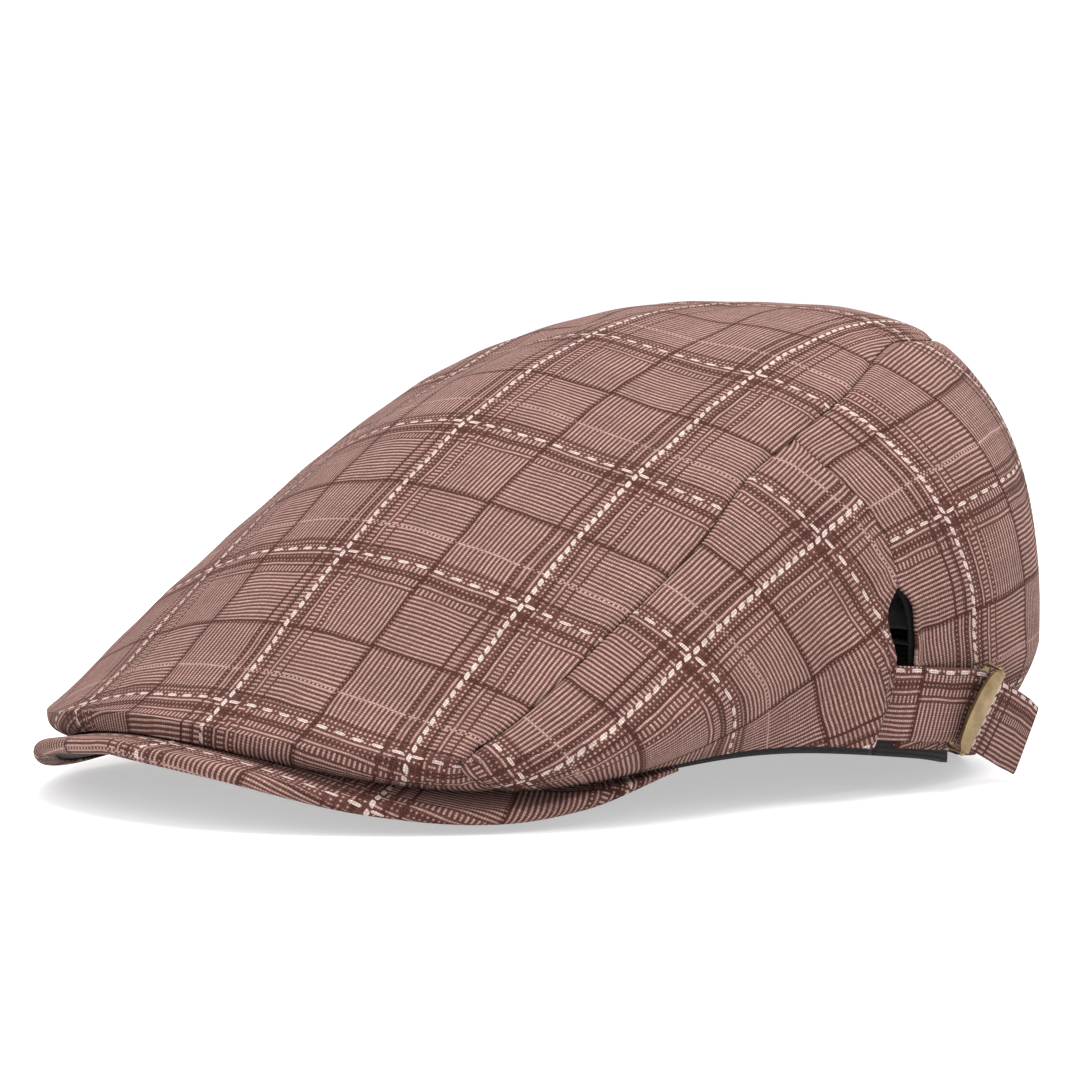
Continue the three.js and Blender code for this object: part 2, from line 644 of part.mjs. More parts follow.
// The buckle's frame: x out from the strap, y back along the tail, z along the pin
const buckleAxes = strapAxes(BUCKLE.at * RAD, STRAP.droop * RAD);
const buckleMatrix = new THREE.Matrix4().makeBasis(buckleAxes.out, buckleAxes.along, buckleAxes.across);
const arcPoint = polar(STRAP.radius, 90 + BUCKLE.at, 0);
const buckle = new THREE.Group();
buckle.applyMatrix4(buckleMatrix.setPosition(arcPoint));
buckle.add(
  piece('buckle_frame', buckleFrame(), 'brass'),
  piece('buckle_pin', bucklePin(), 'brass'),
  piece('buckle_lever', buckleLever(), 'brass'),
);
strapFrame.add(buckle);

const cap = new THREE.Group();
cap.add(cloth, strapFrame);
// The origin is under the middle of the cap's box, on the surface that it stands on
const box = new THREE.Box3().setFromObject(cap, true);
cap.position.set(-(box.min.x + box.max.x) / 2, -(box.min.y + box.max.y) / 2, -box.min.z);
export default cap;
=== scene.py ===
"""Flat cap with a side strap: the cloth, brim, strap and brass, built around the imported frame."""
import math
from contextlib import contextmanager
from functools import partial

import bmesh
import bpy
import numpy as np
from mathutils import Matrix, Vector

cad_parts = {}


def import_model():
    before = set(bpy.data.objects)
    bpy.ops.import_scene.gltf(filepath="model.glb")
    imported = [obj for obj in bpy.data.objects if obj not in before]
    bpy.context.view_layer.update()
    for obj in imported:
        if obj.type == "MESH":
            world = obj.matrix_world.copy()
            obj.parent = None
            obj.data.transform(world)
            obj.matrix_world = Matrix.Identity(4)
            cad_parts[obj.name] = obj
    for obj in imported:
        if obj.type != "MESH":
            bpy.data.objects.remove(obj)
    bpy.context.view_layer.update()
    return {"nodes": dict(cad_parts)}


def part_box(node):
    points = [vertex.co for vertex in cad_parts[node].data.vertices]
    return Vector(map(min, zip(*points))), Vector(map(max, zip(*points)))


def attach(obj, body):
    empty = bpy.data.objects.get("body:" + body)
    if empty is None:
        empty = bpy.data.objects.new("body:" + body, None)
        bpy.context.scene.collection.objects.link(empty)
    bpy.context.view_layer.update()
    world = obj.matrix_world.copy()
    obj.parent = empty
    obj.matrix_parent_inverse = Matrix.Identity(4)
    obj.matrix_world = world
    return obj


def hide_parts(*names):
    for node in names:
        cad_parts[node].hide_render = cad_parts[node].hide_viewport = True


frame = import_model()

MM = 0.001

# ---- driving dimensions, mm
# psi is degrees round from the front; t is 0 at the apex, 1 at the widest line, 2 at the rim

CROWN = dict(
    wide=[138, 134, 115, 102, 116, 117, 119],
    wide_z=[23.5, 17.5, 26, 33, 32, 41, 54],
    spread=[2.3, 2.1, 2.1, 2.4, 2.95, 3.0, 2.6],
    dome=[0.8, 0.9, 1.2, 2.0, 2.5, 2.45, 2.0],
    rim=[138, 125, 98, 97, 102, 101, 99],
    rim_z=[19, 9.8, 12, 13, 6.5, -0.5, -1],
    tuck=[3.4, 3.4, 2.0, 1.4, 1.4, 1.4, 1.4],
)
APEX_Y = 63.0
APEX_Z = 117.5

LINING = dict(
    wide=[95, 93.5, 90, 91, 98, 100, 101],
    wide_z=[47, 46, 44, 45, 43, 44, 46],
    spread=[2.0, 2.0, 2.0, 2.2, 2.5, 2.5, 2.2],
    dome=[1.1, 1.1, 1.3, 1.7, 2.0, 2.0, 1.7],
    rim=[94.5, 93, 88.5, 89, 94, 96, 96],
    rim_z=[45.6, 43.6, 40.6, 41, 35.6, 31.6, 31.6],
    tuck=[1.4] * 7,
)
LINING_Y = 50.0
LINING_Z = 108.0
LINING_SEAM = 0.56

TOP_SEAM = [(36, 0.875), (42, 0.75), (48.5, 0.665), (59, 0.6), (67, 0.545), (78, 0.525),
            (91.5, 0.475), (106, 0.36), (113, 0.325), (124, 0.33), (150, 0.36), (180, 0.42)]
LIP_PSI = 36.0
LIP_SEAM = [(0.875, 36), (1.0, 35.2), (1.4, 35.3), (2, 37.5)]
SIDE_SEAM = [(0.53, 78), (0.55, 79), (0.64, 85), (0.71, 89.5), (0.805, 93), (0.88, 93.8)]
SIDE_PSI = 78.0
KEY_PSI, KEY_HALF, KEY_TOP, KEY_SHOULDER = 93.8, 2.7, 0.88, 0.955

BRIM_OUT = [(0, 149), (13, 147), (26, 138), (39, 126), (52, 109), (60, 98.9)]
BRIM_OUT_Z = [(0, 19), (13, 15.4), (26, 8), (39, 5.3), (52, 9.4), (60, 11.5)]
BRIM_IN = [(0, 97.6), (26, 95.6), (39, 93.6), (52, 92.4), (60, 92.4)]
BRIM_IN_Z = [(0, 22.5), (26, 19.5), (39, 17), (52, 14.5), (60, 13.2)]
BRIM_PSI = 60.0
BRIM_UNDER_RIM = 0.5
BRIM_THICK = 3.8
BRIM_END_THICK = 1.0
BRIM_THIN_PSI = 47.0
BOARD_PSI = 52.0

BAND = [96.4, 94.6, 89.6, 88.6, 93.6, 95.6, 95.6]
BAND_TALL = 28.0
BAND_BELOW = 2.6
BAND_JOINED = 0.3

STRAP_CENTRE = (13.8, 30.0, 21.2)
STRAP_TILT, STRAP_R, STRAP_LEAN = 5.0, 91.0, 14.0
STRAP_WIDE, STRAP_THICK = 18.6, 1.5
STRAP_START, STRAP_ARC_END, STRAP_TAIL, STRAP_TAIL_R = -25.0, 3.0, 29.0, 170.0
STRAP_DROOP, STRAP_BEND = 17.0, 5.0
STRAP_STRIPE = 48.0
PIN_AT, PIN_OUT, PIN_BACK, PIN_R = 0.6, 2.5, 2.0, 0.6
LEVER_HALF, LEVER_DEPTH, LEVER_THICK = 10.75, 5.6, 0.9

FLARE = dict(out=3.6, start=81.0, full=90.5, top=46.0, low=33.0)
PRESS = dict(out=-1.6, start=97.0, full=99.5, back=118.0, end=126.0, top=50.0, low=36.0)

CLOTH = 1.0
LINER_CLOTH = 0.5

# ---- the rest of the shapes, mm

SEAM_DIP, SEAM_WIDE = 0.65, 2.0  # how far cloth sinks at a seam, and how wide
TUCK_UNDER = 0.008  # how far, in t, the walls start above the top seam
TUCK_DEEP, TUCK_OVER = 0.9, 0.5  # how deep that margin lies, and how wide its step is
PUCKER_RATE, PUCKER_HIGH = 95.0, 0.32
PUCKER_END, PUCKER_FADE = 1.15, 0.15  # in t
HEM_RISE, HEM_AT, HEM_DROP, HEM_EDGE = 0.55, 1.3, 0.9, 0.7
SEWN_OVER = 0.02  # in t, where the side seam opens into the keyhole
WALL_END = 179.95  # degrees: the rear halves meet just short of each other
SEAM_HALF_GAP = 0.02  # degrees

TOP_STEP, TOP_ROWS, LIP_ROWS = 1.5, 60, 36
SIDE_GRID, REAR_GRID = (90, 80), (130, 80)

BRIM_CLOTH, BOARD_THICK = 0.5, 1.4
BRIM_TURN_UNDER = 3.5  # width of cover turned under the brim's edge
BELOW_IN, BELOW_OUT, BELOW_UP = 2.4, 3.0, 0.75
BOARD_IN, BOARD_OUT, BOARD_DEEP = 1.2, 2.0, 0.3

LINING_HALF_GAP = 0.002  # in t, between the lining's top and sides
LINING_HOLE = (6.5, 0.93)  # cut for the keyhole: degrees each side, and from this t
BAND_FROM, BAND_TO = 99.0 - 360.0, 99.0
BAND_CUT = (90.0, 99.0)
BAND_THICK, BAND_INSET, BAND_MARGIN, BAND_WAVE = 1.0, 0.05, 0.2, 0.12

TRIM_DEEP = 0.75  # below the inner face of the crown cloth
FACING_WIDE, FACING_END, FACING_THICK = (0.25, 1.1), 1.2, 0.6
TAPE_PSI, TAPE_T, TAPE_THICK = (177.8, 182.2), (0.5, 0.97), 0.45
LABEL_PSI, LABEL_Z, LABEL_THICK, LABEL_INSET = (171, 189), (8, 21), 0.4, 1.55
TAB_PSI, TAB_T, TAB_HIGH, TAB_THICK = (106, 110), (1.32, 1.6), 1.15, 0.35

STRAP_STEPS, STRAP_RING_STEP = 150, 10
STRAP_HEM = (0.10, 1.4, 1.0)  # rise (share of the thickness), place and width
STRAP_SLANT, STRAP_SLANT_FROM = 2.4, 0.86
STRAP_ROUND_FROM = 0.985
LEVER_GAP, LEVER_EAR_GAP, LEVER_EAR_AT = 0.1, 0.25, 9.3
LEVER_ARCH, LEVER_DIP, LEVER_BLUNT = 0.7, 0.5, 0.16
LEVER_EDGE = 0.25
FRAME_LOW, FRAME_EAR_UP, FRAME_HALF, FRAME_BEND, FRAME_THICK = -2.0, 0.8, 11.35, 1.2, 0.6
EAR_HALF, PLATE_EXTRA = 0.85, 2.5

# The frame's own box places these dimensions: the crown top is symmetric about x = 0 here
TOP_LOW, TOP_HIGH = (np.array(corner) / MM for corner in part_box("crown_top_panel"))
SHIFT = np.array([
    (TOP_LOW[0] + TOP_HIGH[0]) / 2,
    TOP_LOW[1] + CROWN["wide"][0],
    TOP_HIGH[2] - APEX_Z,
])

# ---- curves


def around(values, psi):
    """Even periodic curve through values at equal steps from 0 to 180 degrees."""
    n = len(values) - 1
    weight = np.array([0.5 if k in (0, n) else 1.0 for k in range(n + 1)])
    basis = np.cos(np.pi * np.outer(np.arange(n + 1), np.arange(n + 1)) / n)
    factor = weight * (2 / n) * (basis @ (weight * np.array(values, float)))
    psi = np.radians(np.asarray(psi, float))
    return sum(factor[k] * np.cos(k * psi) for k in range(n + 1))


def along(points, x):
    """Smooth curve through (x, y) points."""
    xs = np.array([p[0] for p in points], float)
    ys = np.array([p[1] for p in points], float)
    last = len(xs) - 1
    x = np.asarray(x, float)
    i = np.clip(np.searchsorted(xs, x, side="right") - 1, 0, last - 1)
    each = np.arange(last + 1)
    back, ahead = np.maximum(each - 1, 0), np.minimum(each + 1, last)
    slope = (ys[ahead] - ys[back]) / (xs[ahead] - xs[back])
    h = xs[i + 1] - xs[i]
    u = (x - xs[i]) / h
    return (ys[i] * (1 + 2 * u) * (1 - u) ** 2 + h * slope[i] * u * (1 - u) ** 2
            + ys[i + 1] * u * u * (3 - 2 * u) - h * slope[i + 1] * u * u * (1 - u))


def smooth(u):
    """0 to 1 with level ends."""
    u = np.clip(u, 0, 1)
    return u * u * (3 - 2 * u)


def bell(distance, width):
    """1 at distance 0, falling away over width."""
    return np.exp(-(distance / width) ** 2)


def polar(radius, psi, z):
    """Point at a radius and at psi degrees round from the front."""
    a = np.radians(psi)
    radius, a, z = np.broadcast_arrays(radius, a, z)
    return np.stack([radius * np.sin(a), -radius * np.cos(a), z], -1)


def cross_unit(a, b):
    """Unit vectors square to both a and b."""
    n = np.cross(a, b)
    return n / np.maximum(np.linalg.norm(n, axis=-1, keepdims=True), 1e-9)


# ---- surfaces


def dome(keys, apex_y, apex_z, psi, t):
    """Domed shell: a superellipse from the apex to the widest line, then a wall down to the rim."""
    psi, t = np.broadcast_arrays(np.asarray(psi, float), np.asarray(t, float))
    key = {name: around(values, np.abs(psi)) for name, values in keys.items()}
    up = np.clip(t, 0, 1) * np.pi / 2
    rho = np.sin(up) ** (2 / key["spread"])
    rise = np.clip(np.cos(up), 0, 1) ** (2 / key["dome"])
    edge = polar(key["wide"], psi, 0)
    upper = np.stack([
        edge[..., 0] * rho,
        apex_y * (1 - rho) + edge[..., 1] * rho,
        key["wide_z"] + (apex_z - key["wide_z"]) * rise,
    ], -1)
    u = np.clip(t - 1, 0, 1)
    rim_z = np.maximum(key["rim_z"], 0)
    lower = polar(key["wide"] - (key["wide"] - key["rim"]) * u ** key["tuck"], psi,
                  key["wide_z"] - (key["wide_z"] - rim_z) * u)
    return np.where((t <= 1)[..., None], upper, lower)


def ripple(p):
    """Slow unevenness of soft cloth, the same for every panel at one place."""
    x, y, z = p[..., 0], p[..., 1], p[..., 2]
    return (0.30 * np.sin(x / 13 + 0.4 * np.sin(y / 21)) * np.sin(y / 17 + 1.1)
            + 0.22 * np.sin(x / 7.3 - y / 11 + 2.0) * np.sin(z / 9 + y / 23)
            + 0.10 * np.sin(x / 4.1 + y / 5.2 + z / 6.0))


def crown_plain(psi, t):
    return dome(CROWN, APEX_Y, APEX_Z, psi, t)


def crown(psi, t):
    """The crown's outer face with the unevenness of cloth, which dies out at the rim."""
    p = crown_plain(psi, t)
    lift = ripple(p) * smooth(2.1 - np.asarray(t, float))
    return p + outward(crown_plain, psi, t) * lift[..., None]


def patch(keys, psi, t, height):
    """1 over a patch low on the wearer's left, fading out around it."""
    psi = np.asarray(psi, float)
    rounds = smooth((psi - keys["start"]) / (keys["full"] - keys["start"]))
    if "back" in keys:
        rounds = rounds * smooth((keys["end"] - psi) / (keys["end"] - keys["back"]))
    low = smooth((keys["top"] - height) / (keys["top"] - keys["low"]))
    return rounds * low * (np.asarray(t) > 0.8)


def flared(psi, t):
    """The side panel stands out behind, where the strap starts."""
    base = crown(psi, t)
    return base + polar(FLARE["out"] * patch(FLARE, psi, t, base[..., 2]), psi, 0)


def pressed(psi, t):
    """The rear panel lies in under the buckle, and is smooth there."""
    base = crown(psi, t)
    flat = patch(PRESS, psi, t, base[..., 2])
    base = base + (crown_plain(psi, t) - base) * flat[..., None]
    return base + polar(PRESS["out"] * flat, psi, 0)


def outward(f, psi, t):
    """Unit normals of the surface f."""
    psi, t = np.broadcast_arrays(np.asarray(psi, float), np.asarray(t, float))
    a = f(psi + 0.4, t) - f(psi - 0.4, t)
    b = f(psi, np.minimum(t + 0.01, 2)) - f(psi, np.maximum(t - 0.01, 1e-4))
    n = cross_unit(b, a)
    return np.where((t < 1e-3)[..., None], np.array([0.0, 0.0, 1.0]), n)


def seam_t(psi):
    """Height of the seam between the crown top and the walls."""
    return along(TOP_SEAM, np.maximum(np.abs(psi), LIP_PSI))


def keyhole_half(t):
    """Half width of the keyhole, in degrees."""
    u = np.clip((np.asarray(t, float) - KEY_TOP) / (KEY_SHOULDER - KEY_TOP), 0, 1)
    return KEY_HALF * np.sqrt(1 - (1 - u) ** 2)


def side_edge(t, way, keyhole):
    """Edge of the side seam and keyhole: way is -1 for the front side, 1 for the rear."""
    psi = along(SIDE_SEAM, np.minimum(t, KEY_TOP))
    hole = keyhole_half(t) if keyhole else 0
    return psi + way * np.maximum(hole, SEAM_HALF_GAP)


def brim_top(psi, w):
    """Brim's upper face: w is 0 at its inner edge and 1 outside, with a break under the rim."""
    a = np.abs(np.asarray(psi, float))
    inner, outer = along(BRIM_IN, a), along(BRIM_OUT, a)
    inner_z, outer_z = along(BRIM_IN_Z, a), along(BRIM_OUT_Z, a)
    rim_w = (around(CROWN["rim"], a) - inner) / (outer - inner)
    rim_z = around(CROWN["rim_z"], a) - BRIM_UNDER_RIM
    w = np.asarray(w, float)
    within = inner_z + (rim_z - inner_z) * w / rim_w
    beyond = rim_z + (outer_z - rim_z) * (w - rim_w) / (1 - rim_w)
    return polar(inner + (outer - inner) * w, psi, np.where(w < rim_w, within, beyond))


def brim_out(psi, w):
    """Unit normals of the brim's upper face."""
    a = brim_top(psi + 0.4, w) - brim_top(psi - 0.4, w)
    b = brim_top(psi, w + 0.02) - brim_top(psi, np.maximum(w - 0.02, 0))
    return cross_unit(b, a)


# ---- meshes


def fetch(items, name, width=1, kind=float):
    values = np.empty(len(items) * width, dtype=kind)
    items.foreach_get(name, values)
    return values.reshape(-1, width) if width > 1 else values


def mesh_object(name, points, faces, uv):
    """points in mm in the cap's own frame; uv in metres, one pair for each point."""
    mesh = bpy.data.meshes.new(name)
    mesh.from_pydata(((points + SHIFT) * MM).tolist(), [], faces)
    mesh.validate()
    layer = mesh.uv_layers.new(name="cloth")
    index = fetch(mesh.loops, "vertex_index", kind=np.int64)
    layer.data.foreach_set("uv", np.asarray(uv, float)[index].ravel())
    mesh.polygons.foreach_set("use_smooth", [True] * len(mesh.polygons))
    piece = bpy.data.objects.new(name, mesh)
    bpy.context.scene.collection.objects.link(piece)
    return piece


def quad_faces(index, columns_first=False):
    """Faces between the neighbours in a grid of vertex numbers."""
    corners = [index[:-1, :-1], index[1:, :-1], index[1:, 1:], index[:-1, 1:]]
    if columns_first:
        corners = [corners[0], corners[3], corners[2], corners[1]]
    return np.stack(corners, -1).reshape(-1, 4).tolist()


def lengths(points, axis):
    """Distance travelled over the grid of points along one of its ways."""
    step = np.linalg.norm(np.diff(points, axis=axis), axis=-1)
    start = np.zeros_like(step.take([0], axis=axis))
    return np.concatenate([start, np.cumsum(step, axis=axis)], axis=axis)


def grid_object(name, points):
    """Sheet from a grid of points; its cloth place is the distance along rows and columns."""
    rows, columns = points.shape[:2]
    across = lengths(points, 0)[:, columns // 2:columns // 2 + 1] + np.zeros((rows, columns))
    uv = np.stack([across, lengths(points, 1)], -1).reshape(-1, 2) * MM
    index = np.arange(rows * columns).reshape(rows, columns)
    return mesh_object(name, points.reshape(-1, 3), quad_faces(index), uv)


def face_out(piece, centre):
    """Turns an open sheet so that its normals point away from centre (mm)."""
    mesh = piece.data
    middle = (Vector(centre) + Vector(SHIFT)) * MM
    total = sum((p.center - middle).dot(p.normal) * p.area for p in mesh.polygons)
    if total < 0:
        mesh.flip_normals()


@contextmanager
def editing(piece):
    bm = bmesh.new()
    bm.from_mesh(piece.data)
    yield bm
    bm.to_mesh(piece.data)
    bm.free()


def cut_away(piece, inside, *grids):
    """Deletes the faces whose middle, read in the grids that made the sheet, is inside."""
    flat = np.stack([grid.ravel() for grid in grids], -1)
    with editing(piece) as bm:
        drop = [face for face in bm.faces if inside(flat[[v.index for v in face.verts]].mean(0))]
        bmesh.ops.delete(bm, geom=drop, context="FACES")


def apply_modifier(piece, modifier):
    """Makes the modifier's result the piece's own mesh."""
    with bpy.context.temp_override(object=piece, active_object=piece, selected_objects=[piece]):
        bpy.ops.object.modifier_apply(modifier=modifier.name)


def thicken(piece, thick):
    """Gives an open sheet its thickness, inwards."""
    solid = piece.modifiers.new("thick", "SOLIDIFY")
    solid.thickness = thick * MM
    solid.offset = -1.0
    solid.use_even_offset = False
    apply_modifier(piece, solid)


def thick_sheet(name, points, thick, inside=(0, 0, 20)):
    piece = grid_object(name, points)
    face_out(piece, inside)
    thicken(piece, thick)
    return piece


def unwrap(piece):
    bpy.context.view_layer.objects.active = piece
    piece.select_set(True)
    bpy.ops.object.mode_set(mode="EDIT")
    bpy.ops.mesh.select_all(action="SELECT")
    bpy.ops.uv.unwrap(method="MINIMUM_STRETCH", margin=0.0, iterations=12, no_flip=True)
    bpy.ops.object.mode_set(mode="OBJECT")
    piece.select_set(False)


def flatten_cloth(piece, origin, ahead, at):
    """Lays the sheet flat as it was cut: origin (mm) gets the cloth place `at` (mm), and the warp
    runs from origin towards ahead."""
    unwrap(piece)
    mesh = piece.data
    layer = mesh.uv_layers["cloth"]
    uv = fetch(layer.data, "uv", 2)
    index = fetch(mesh.loops, "vertex_index", kind=np.int64)
    place = (fetch(mesh.vertices, "co", 3) / MM - SHIFT)[index]
    corner_next = np.empty(len(index), dtype=np.int64)
    for polygon in mesh.polygons:
        loops = list(polygon.loop_indices)
        corner_next[loops] = loops[1:] + loops[:1]
    length = np.linalg.norm(place - place[corner_next], axis=1).sum()
    flat_length = np.linalg.norm(uv - uv[corner_next], axis=1).sum()
    uv = uv * (length / flat_length)
    nearest = [np.argmin(np.linalg.norm(place - np.array(p, float), axis=1)) for p in (origin, ahead)]
    warp = uv[nearest[1]] - uv[nearest[0]]
    warp /= np.linalg.norm(warp)
    weft = np.array([warp[1], -warp[0]])
    relative = uv - uv[nearest[0]]
    laid = np.stack([relative @ weft, relative @ warp], 1) + np.array(at, float)
    layer.data.foreach_set("uv", (laid * MM).ravel())


# ---- material nodes


class Graph:
    """Short calls for building a node material."""

    def __init__(self, name):
        self.material = bpy.data.materials.new(name)
        self.material.use_nodes = True
        self.tree = self.material.node_tree
        self.shader = self.tree.nodes["Principled BSDF"]

    def node(self, kind, **settings):
        node = self.tree.nodes.new(kind)
        for key, value in settings.items():
            setattr(node, key, value)
        return node

    def feed(self, socket, value):
        """Links an output to the socket, or sets a constant on it."""
        if hasattr(value, "is_output"):
            self.tree.links.new(value, socket)
        else:
            socket.default_value = value

    def math(self, operation, *values):
        node = self.node("ShaderNodeMath", operation=operation)
        for socket, value in zip(node.inputs, values):
            self.feed(socket, value)
        return node.outputs[0]

    def choose(self, switch, when_on, when_off):
        """One of two numbers; switch is 0 or 1."""
        return self.math("ADD", self.math("MULTIPLY", switch, when_on),
                         self.math("MULTIPLY", self.math("SUBTRACT", 1.0, switch), when_off))

    def constants(self, **values):
        """Sets the shader's own sockets; Sheen_Weight stands for Sheen Weight."""
        for name, value in values.items():
            self.shader.inputs[name.replace("_", " ")].default_value = value

    def mix(self, factor, a, b, how="MIX"):
        node = self.node("ShaderNodeMix", data_type="RGBA", blend_type=how)
        self.feed(node.inputs["Factor"], factor)
        self.feed(node.inputs[6], a)
        self.feed(node.inputs[7], b)
        return node.outputs[2]

    def noise(self, vector, scale, detail=2.0, rough=0.5):
        node = self.node("ShaderNodeTexNoise")
        self.feed(node.inputs["Vector"], vector)
        self.feed(node.inputs["Scale"], scale)
        self.feed(node.inputs["Detail"], detail)
        self.feed(node.inputs["Roughness"], rough)
        return node.outputs["Fac"]

    def remap(self, value, low, high, to_low=0.0, to_high=1.0):
        node = self.node("ShaderNodeMapRange")
        self.feed(node.inputs["Value"], value)
        limits = {"From Min": low, "From Max": high, "To Min": to_low, "To Max": to_high}
        for name, number in limits.items():
            self.feed(node.inputs[name], number)
        return node.outputs["Result"]

    def cloth_place(self):
        """The place on the flat cloth, in metres: the vector, across (u) and along (v)."""
        uv = self.node("ShaderNodeUVMap", uv_map="cloth").outputs["UV"]
        split = self.node("ShaderNodeSeparateXYZ")
        self.feed(split.inputs[0], uv)
        return uv, split.outputs[0], split.outputs[1]

    def place(self):
        return self.node("ShaderNodeTexCoord").outputs["Object"]

    def surface(self, colour, rough):
        self.feed(self.shader.inputs["Base Color"], colour)
        self.feed(self.shader.inputs["Roughness"], rough)

    def bump(self, height, distance, strength=1.0):
        node = self.node("ShaderNodeBump")
        self.feed(node.inputs["Height"], height)
        self.feed(node.inputs["Distance"], distance)
        self.feed(node.inputs["Strength"], strength)
        self.feed(self.shader.inputs["Normal"], node.outputs["Normal"])


THREAD = 0.60 * MM
REPEAT = 84
HALF_REPEAT = 42
LIGHT_YARN = (0.308, 0.192, 0.169, 1)
DARK_YARN = (0.088, 0.036, 0.029, 1)
WHITE_YARN = (0.47, 0.37, 0.335, 1)
DEEP_YARN = (0.055, 0.018, 0.014, 1)
LIGHT_WEFT = 17.0  # the weft has three light yarns side by side here
CROSSED = 0.55  # strength of an overcheck line where the other yarn is on top


def plaid_material():
    """Log-cabin plaid: light and dark yarns take turns in warp and weft, and every flip of the order
    changes a block from lines along the warp to lines along the weft."""
    g = Graph("plaid_cloth")
    m = g.math
    place, u, v = g.cloth_place()
    wander = g.noise(place, 90.0, 1.0)
    drift = m("MULTIPLY", m("SUBTRACT", wander, 0.5), 0.0011)
    threads_u = m("DIVIDE", m("ADD", u, drift), THREAD)
    threads_v = m("DIVIDE", m("ADD", v, drift), THREAD)
    warp = m("FLOOR", threads_u)
    weft = m("FLOOR", threads_v)
    across_u = m("FRACT", threads_u)
    across_v = m("FRACT", threads_v)

    def vector(x, y=0.0):
        node = g.node("ShaderNodeCombineXYZ")
        g.feed(node.inputs[0], x)
        g.feed(node.inputs[1], y)
        return node.outputs[0]

    def yarn_tone(thread, run):
        """Every yarn has its own tone, which also changes slowly along it."""
        own = g.node("ShaderNodeTexWhiteNoise", noise_dimensions="2D")
        g.feed(own.inputs["Vector"], vector(thread))
        slow = g.noise(vector(m("MULTIPLY", thread, 3.7), m("MULTIPLY", run, 0.22)), 1.0, 1.0)
        return m("MULTIPLY", g.remap(own.outputs["Value"], 0.0, 1.0, 0.87, 1.13),
                 g.remap(slow, 0.3, 0.7, 0.86, 1.14))

    def sequence(thread, spaced_from, spaced_to):
        """1 where the yarn is dark: every other yarn, two in three over the spaced stretch, and all
        of them beside the white line. The order flips at half the repeat."""
        k = m("FLOORED_MODULO", thread, REPEAT)
        flip = m("GREATER_THAN", k, HALF_REPEAT - 0.5)
        plain = m("FLOORED_MODULO", m("ADD", k, flip), 2.0)
        three = m("GREATER_THAN", m("FLOORED_MODULO", k, 3.0), 0.5)
        spaced = m("MULTIPLY", m("GREATER_THAN", k, spaced_from - 0.5),
                   m("LESS_THAN", k, spaced_to + 0.5))
        shifted = m("FLOORED_MODULO", m("ADD", k, 6.0), REPEAT)
        near = m("LESS_THAN", m("ABSOLUTE", m("SUBTRACT", shifted, 6.5)), 3.0)
        return m("MAXIMUM", g.choose(spaced, three, plain), near)

    def overchecks(at, lines):
        """1 on the dark overcheck lines, each (middle, half width) in threads."""
        total = 0.0
        for middle, half in lines:
            shifted = m("FLOORED_MODULO", m("ADD", at, HALF_REPEAT - middle), float(REPEAT))
            from_line = m("ABSOLUTE", m("SUBTRACT", shifted, float(HALF_REPEAT)))
            total = m("MAXIMUM", total, g.remap(from_line, half * 0.75, half * 1.25, 1.0, 0.0))
        return total

    warp_dark = sequence(warp, 4, 14)
    k = m("FLOORED_MODULO", weft, REPEAT)
    light_weft = m("LESS_THAN", m("ABSOLUTE", m("SUBTRACT", k, LIGHT_WEFT)), 1.1)
    weft_dark = m("MULTIPLY", sequence(weft, 68, 81), m("SUBTRACT", 1.0, light_weft))
    # The weft is on top where the two thread numbers add up to an odd number
    over = m("FLOORED_MODULO", m("ADD", warp, weft), 2.0)
    dark = g.choose(over, weft_dark, warp_dark)
    lines_u = overchecks(threads_u, [(42, 1.3), (5.0, 1.0), (79.0, 1.2), (73.5, 0.8)])
    lines_v = overchecks(threads_v, [(42, 1.3), (5.2, 0.9), (78.5, 1.2)])
    lines = m("MAXIMUM", m("MULTIPLY", lines_u, g.choose(over, CROSSED, 1.0)),
              m("MULTIPLY", lines_v, g.choose(over, 1.0, CROSSED)))

    def dashes(thread, run, wide, period, fill, slant):
        """1 on the white yarn's floats; wide is its width in threads."""
        k = m("FLOORED_MODULO", m("ADD", thread, wide / 2), float(REPEAT))
        side = m("DIVIDE", m("SUBTRACT", k, wide / 2), wide / 2)
        phase = m("DIVIDE", m("ADD", run, m("MULTIPLY", side, slant)), period)
        turn = m("SUBTRACT", m("FRACT", phase), 0.5)
        end = m("DIVIDE", turn, fill / 2)
        body = m("ADD", m("POWER", m("ABSOLUTE", side), 2.5), m("POWER", m("ABSOLUTE", end), 4.0))
        return g.remap(body, 0.75, 1.1, 1.0, 0.0)

    white_warp = dashes(threads_u, threads_v, 2.2, 4.9, 0.74, 0.7)
    white_weft = dashes(threads_v, threads_u, 1.5, 8.3, 0.60, 0.0)
    white = m("MAXIMUM", white_warp, white_weft)

    # Relief of the weave: the yarn on top is round across its own width
    round_u = m("SINE", m("MULTIPLY", across_u, math.pi))
    round_v = m("SINE", m("MULTIPLY", across_v, math.pi))
    warp_up = m("MULTIPLY", round_u, m("ADD", 0.35, m("MULTIPLY", round_v, 0.65)))
    weft_up = m("MULTIPLY", round_v, m("ADD", 0.35, m("MULTIPLY", round_u, 0.65)))
    relief = g.choose(over, weft_up, warp_up)
    height = m("ADD", m("MULTIPLY", relief, 0.6), m("MULTIPLY", white, 0.8))

